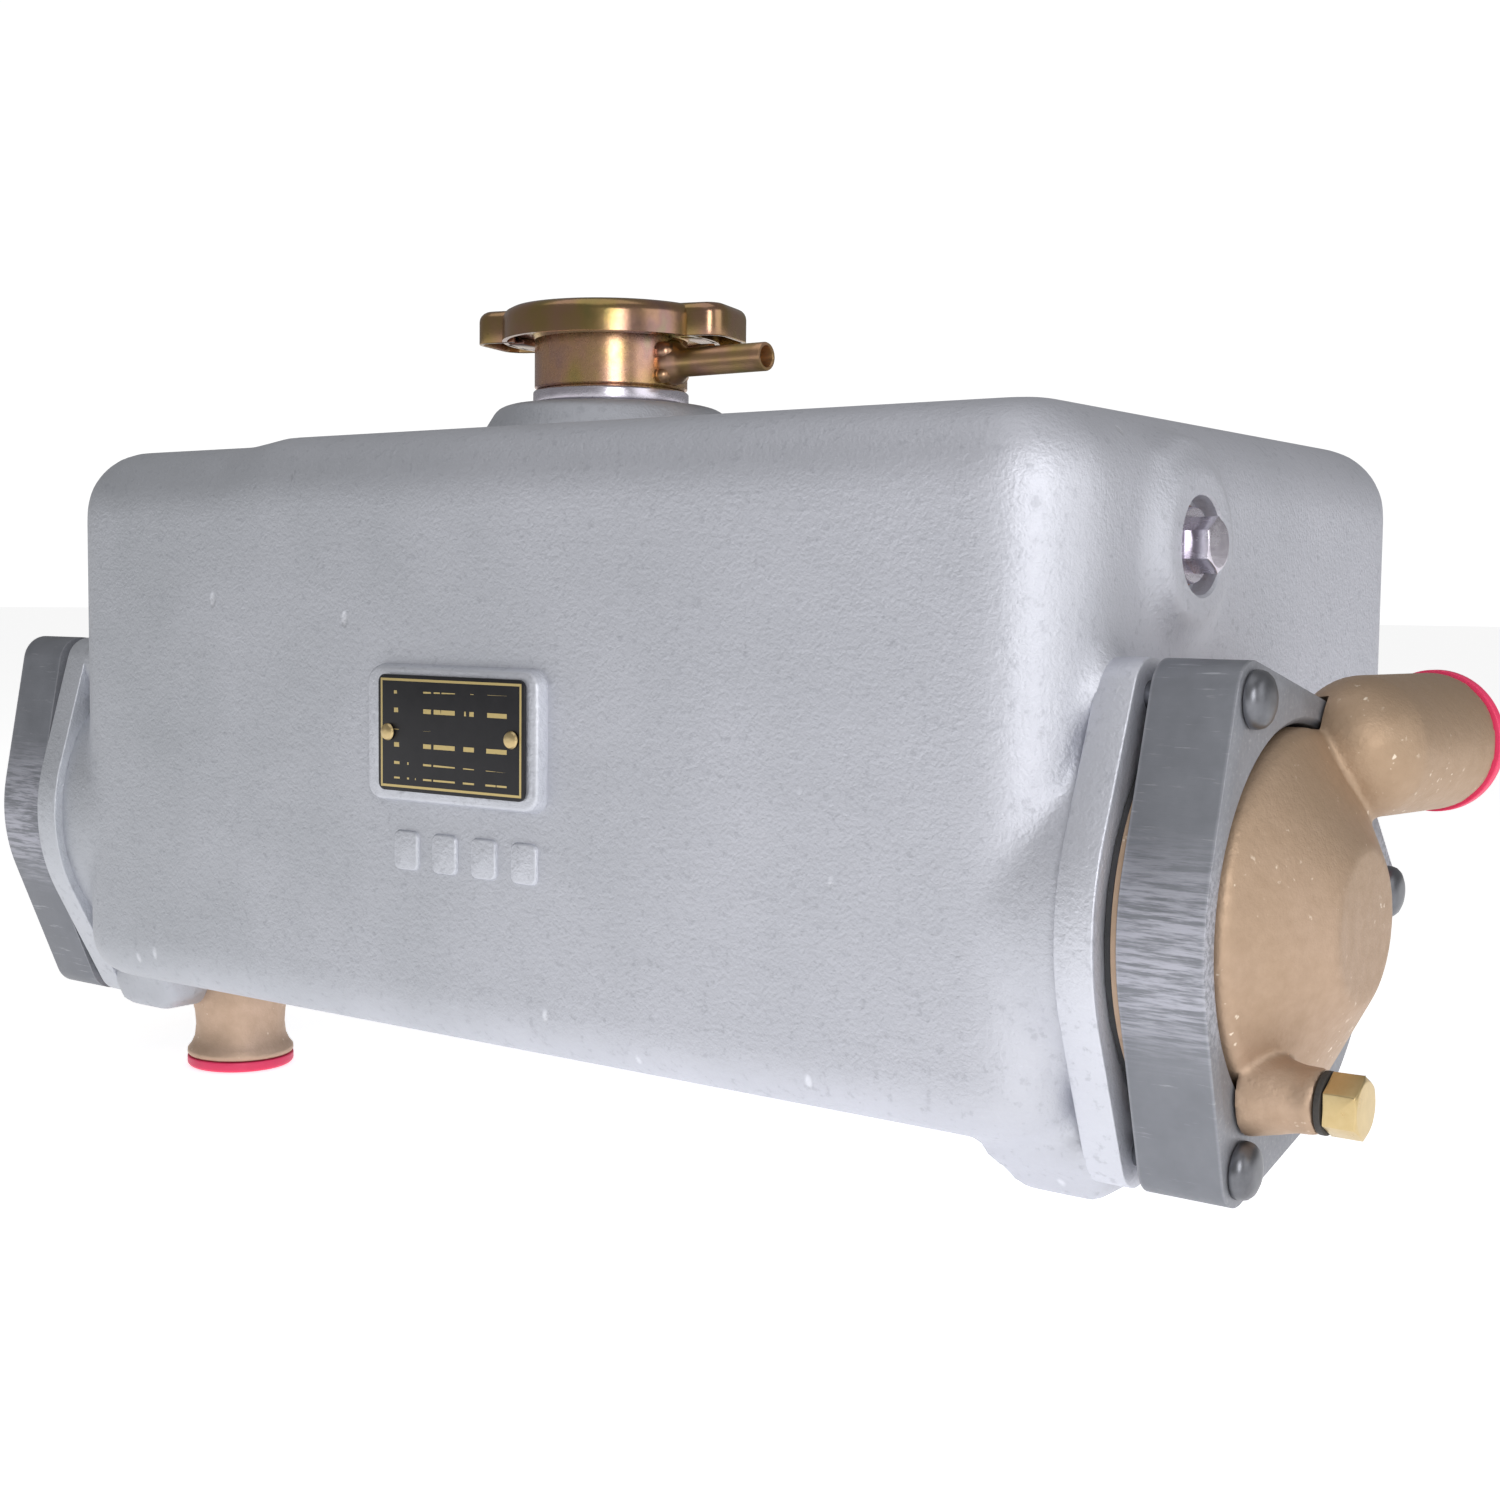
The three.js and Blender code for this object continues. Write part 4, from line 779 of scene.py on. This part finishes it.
rows = plate_finish.cloud(4.2, 0, 0.5, plate_finish.stretched(0.02, 1, 1)) > 0.47
field = (rim_x < half_x - 5.5 * MM) * (rim_z < half_z - 3 * MM)
drawn_gold = border * edge_line + lines * words * rows * field
gold = drawn_gold.maths('MINIMUM', drawn_gold, 1)
scuff = plate_finish.cloud(5, 4, 0.65)
base = plate_finish.mixed(scuff, (0.006, 0.006, 0.008), (0.022, 0.021, 0.024))
plate_finish.wear(plate_finish.mixed(gold * 0.85, base, (0.62, 0.48, 0.20)), 0.26 + 0.2 * scuff,
                  gold + 0.2 * scuff, 0.00005, 0.6)
plate = block((-24.4, -51.1, 16.3), (23.9, -50.3, 44.6))
round_edges(plate, lambda a, b: abs(a.y - b.y) > 0.5 * MM, 2, 5)
fitted(softened(plate, 0.15), 'plate', 'tank', 'plate_black', plate_finish, 'nameplate')
for i, x in enumerate((-20.6, 20.2)):
    pin = turned([(0.9, 46.2), (1, 46.8), (1, 51.4), (2, 51.4), (2.1, 51.7), (1.8, 52.2),
                  (1.0, 52.5), (0.3, 52.5)],
                 (x, 0, 30.6), (0, -1, 0), 32)
    fitted(pin, f'plate_pin_{i + 1}', 'tank', 'brass', brass, f'plate_rivet_{i + 1}')

# ---- Parts that stay as the frame has them -----------------------------------------------------
# The tube bundle, its baffles, the seals and the cap's spring and locking plate are right as they
# are and mostly out of sight; each takes the finish of what it is made of.
spring_wire = Finish('spring_wire', 0.9)
drawn = spring_wire.cloud(1.2, 3, 0.6)
spring_wire.wear(spring_wire.mixed(drawn, (0.30, 0.31, 0.33), (0.58, 0.59, 0.62)),
                 0.28 + 0.2 * drawn, drawn, 0.00004)
for names, finish in ((('tube_stack', 'baffle_1', 'baffle_2', 'baffle_3'), copper),
                      (('end_seal_right', 'end_seal_left'), rubber),
                      (('cap_spring',), spring_wire), (('cap_locking_plate',), bright_zinc)):
    for name in names:
        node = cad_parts[name]
        node.data.materials.clear()
        node.data.materials.append(finish.material)

# ---- Floor, light and camera -------------------------------------------------------------------
# A plain white floor just under the lowest piece, a soft bright surround, softboxes in front, off the
# right end and overhead, and a camera off the right front corner.
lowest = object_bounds()[0].z
bpy.ops.object.select_all(action='DESELECT')
bpy.ops.mesh.primitive_plane_add(size=30, location=(0, 0, lowest - 0.0005))
floor = bpy.context.object
floor.name = 'floor'
floor_paint = Finish('floor_paint', 0.0)
dust = floor_paint.cloud(300, 2, 0.5)
floor_paint.wear(floor_paint.mixed(dust, (0.90, 0.90, 0.90), (0.94, 0.94, 0.94)), 0.8 + 0.1 * dust,
                 dust, 0.0001, 0.2)
floor_paint.skin.inputs['Emission Color'].default_value = (1, 1, 1, 1)
floor_paint.skin.inputs['Emission Strength'].default_value = 0.70
floor.data.materials.append(floor_paint.material)

world = bpy.data.worlds.new('surround')
bpy.context.scene.world = world
world.use_nodes = True
sky = world.node_tree
backdrop = sky.nodes['Background']
backdrop.inputs['Color'].default_value = (1, 1, 1, 1)
seen = sky.nodes.new('ShaderNodeLightPath')
level = sky.nodes.new('ShaderNodeMath')
level.operation = 'MULTIPLY_ADD'
level.inputs[1].default_value = 0.80
level.inputs[2].default_value = 0.25
sky.links.new(seen.outputs['Is Camera Ray'], level.inputs[0])
sky.links.new(level.outputs[0], backdrop.inputs['Strength'])


def softbox(name, place, aimed_at, width, height, power):
    lamp = bpy.data.lights.new(name, 'AREA')
    lamp.shape = 'RECTANGLE'
    lamp.size, lamp.size_y, lamp.energy = width, height, power
    holder = bpy.data.objects.new(name, lamp)
    bpy.context.scene.collection.objects.link(holder)
    holder.location = place
    holder.rotation_euler = (Vector(aimed_at) - Vector(place)).to_track_quat('-Z', 'Y').to_euler()


softbox('front_box', (0.58, -0.55, 0.32), (0.06, 0, 0.05), 0.24, 0.4, 2.1)
softbox('end_box', (1.3, 0.1, 0.5), (0.15, 0, 0.06), 0.8, 0.8, 2.5)
softbox('top_box', (-0.1, -0.3, 1.5), (0, 0.05, 0), 1.6, 1.2, 4)

yaw, pitch, roll = math.radians(36.204), math.radians(4.332), math.radians(-0.666)
forward = Vector((-math.sin(yaw) * math.cos(pitch), math.cos(yaw) * math.cos(pitch),
                  -math.sin(pitch)))
level_right = Vector((math.cos(yaw), math.sin(yaw), 0))
level_up = level_right.cross(forward)
right = level_right * math.cos(roll) - level_up * math.sin(roll)
up = level_right * math.sin(roll) + level_up * math.cos(roll)
lens = bpy.data.cameras.new('camera')
lens.lens, lens.sensor_width = 47.86, 36
camera = bpy.data.objects.new('camera', lens)
bpy.context.scene.collection.objects.link(camera)
camera.matrix_world = Matrix(((right.x, up.x, -forward.x, 0.33689),
                              (right.y, up.y, -forward.y, -0.39047),
                              (right.z, up.z, -forward.z, 0.06386 + axis_height), (0, 0, 0, 1)))
bpy.context.scene.camera = camera
bpy.context.scene.view_settings.view_transform = 'Standard'
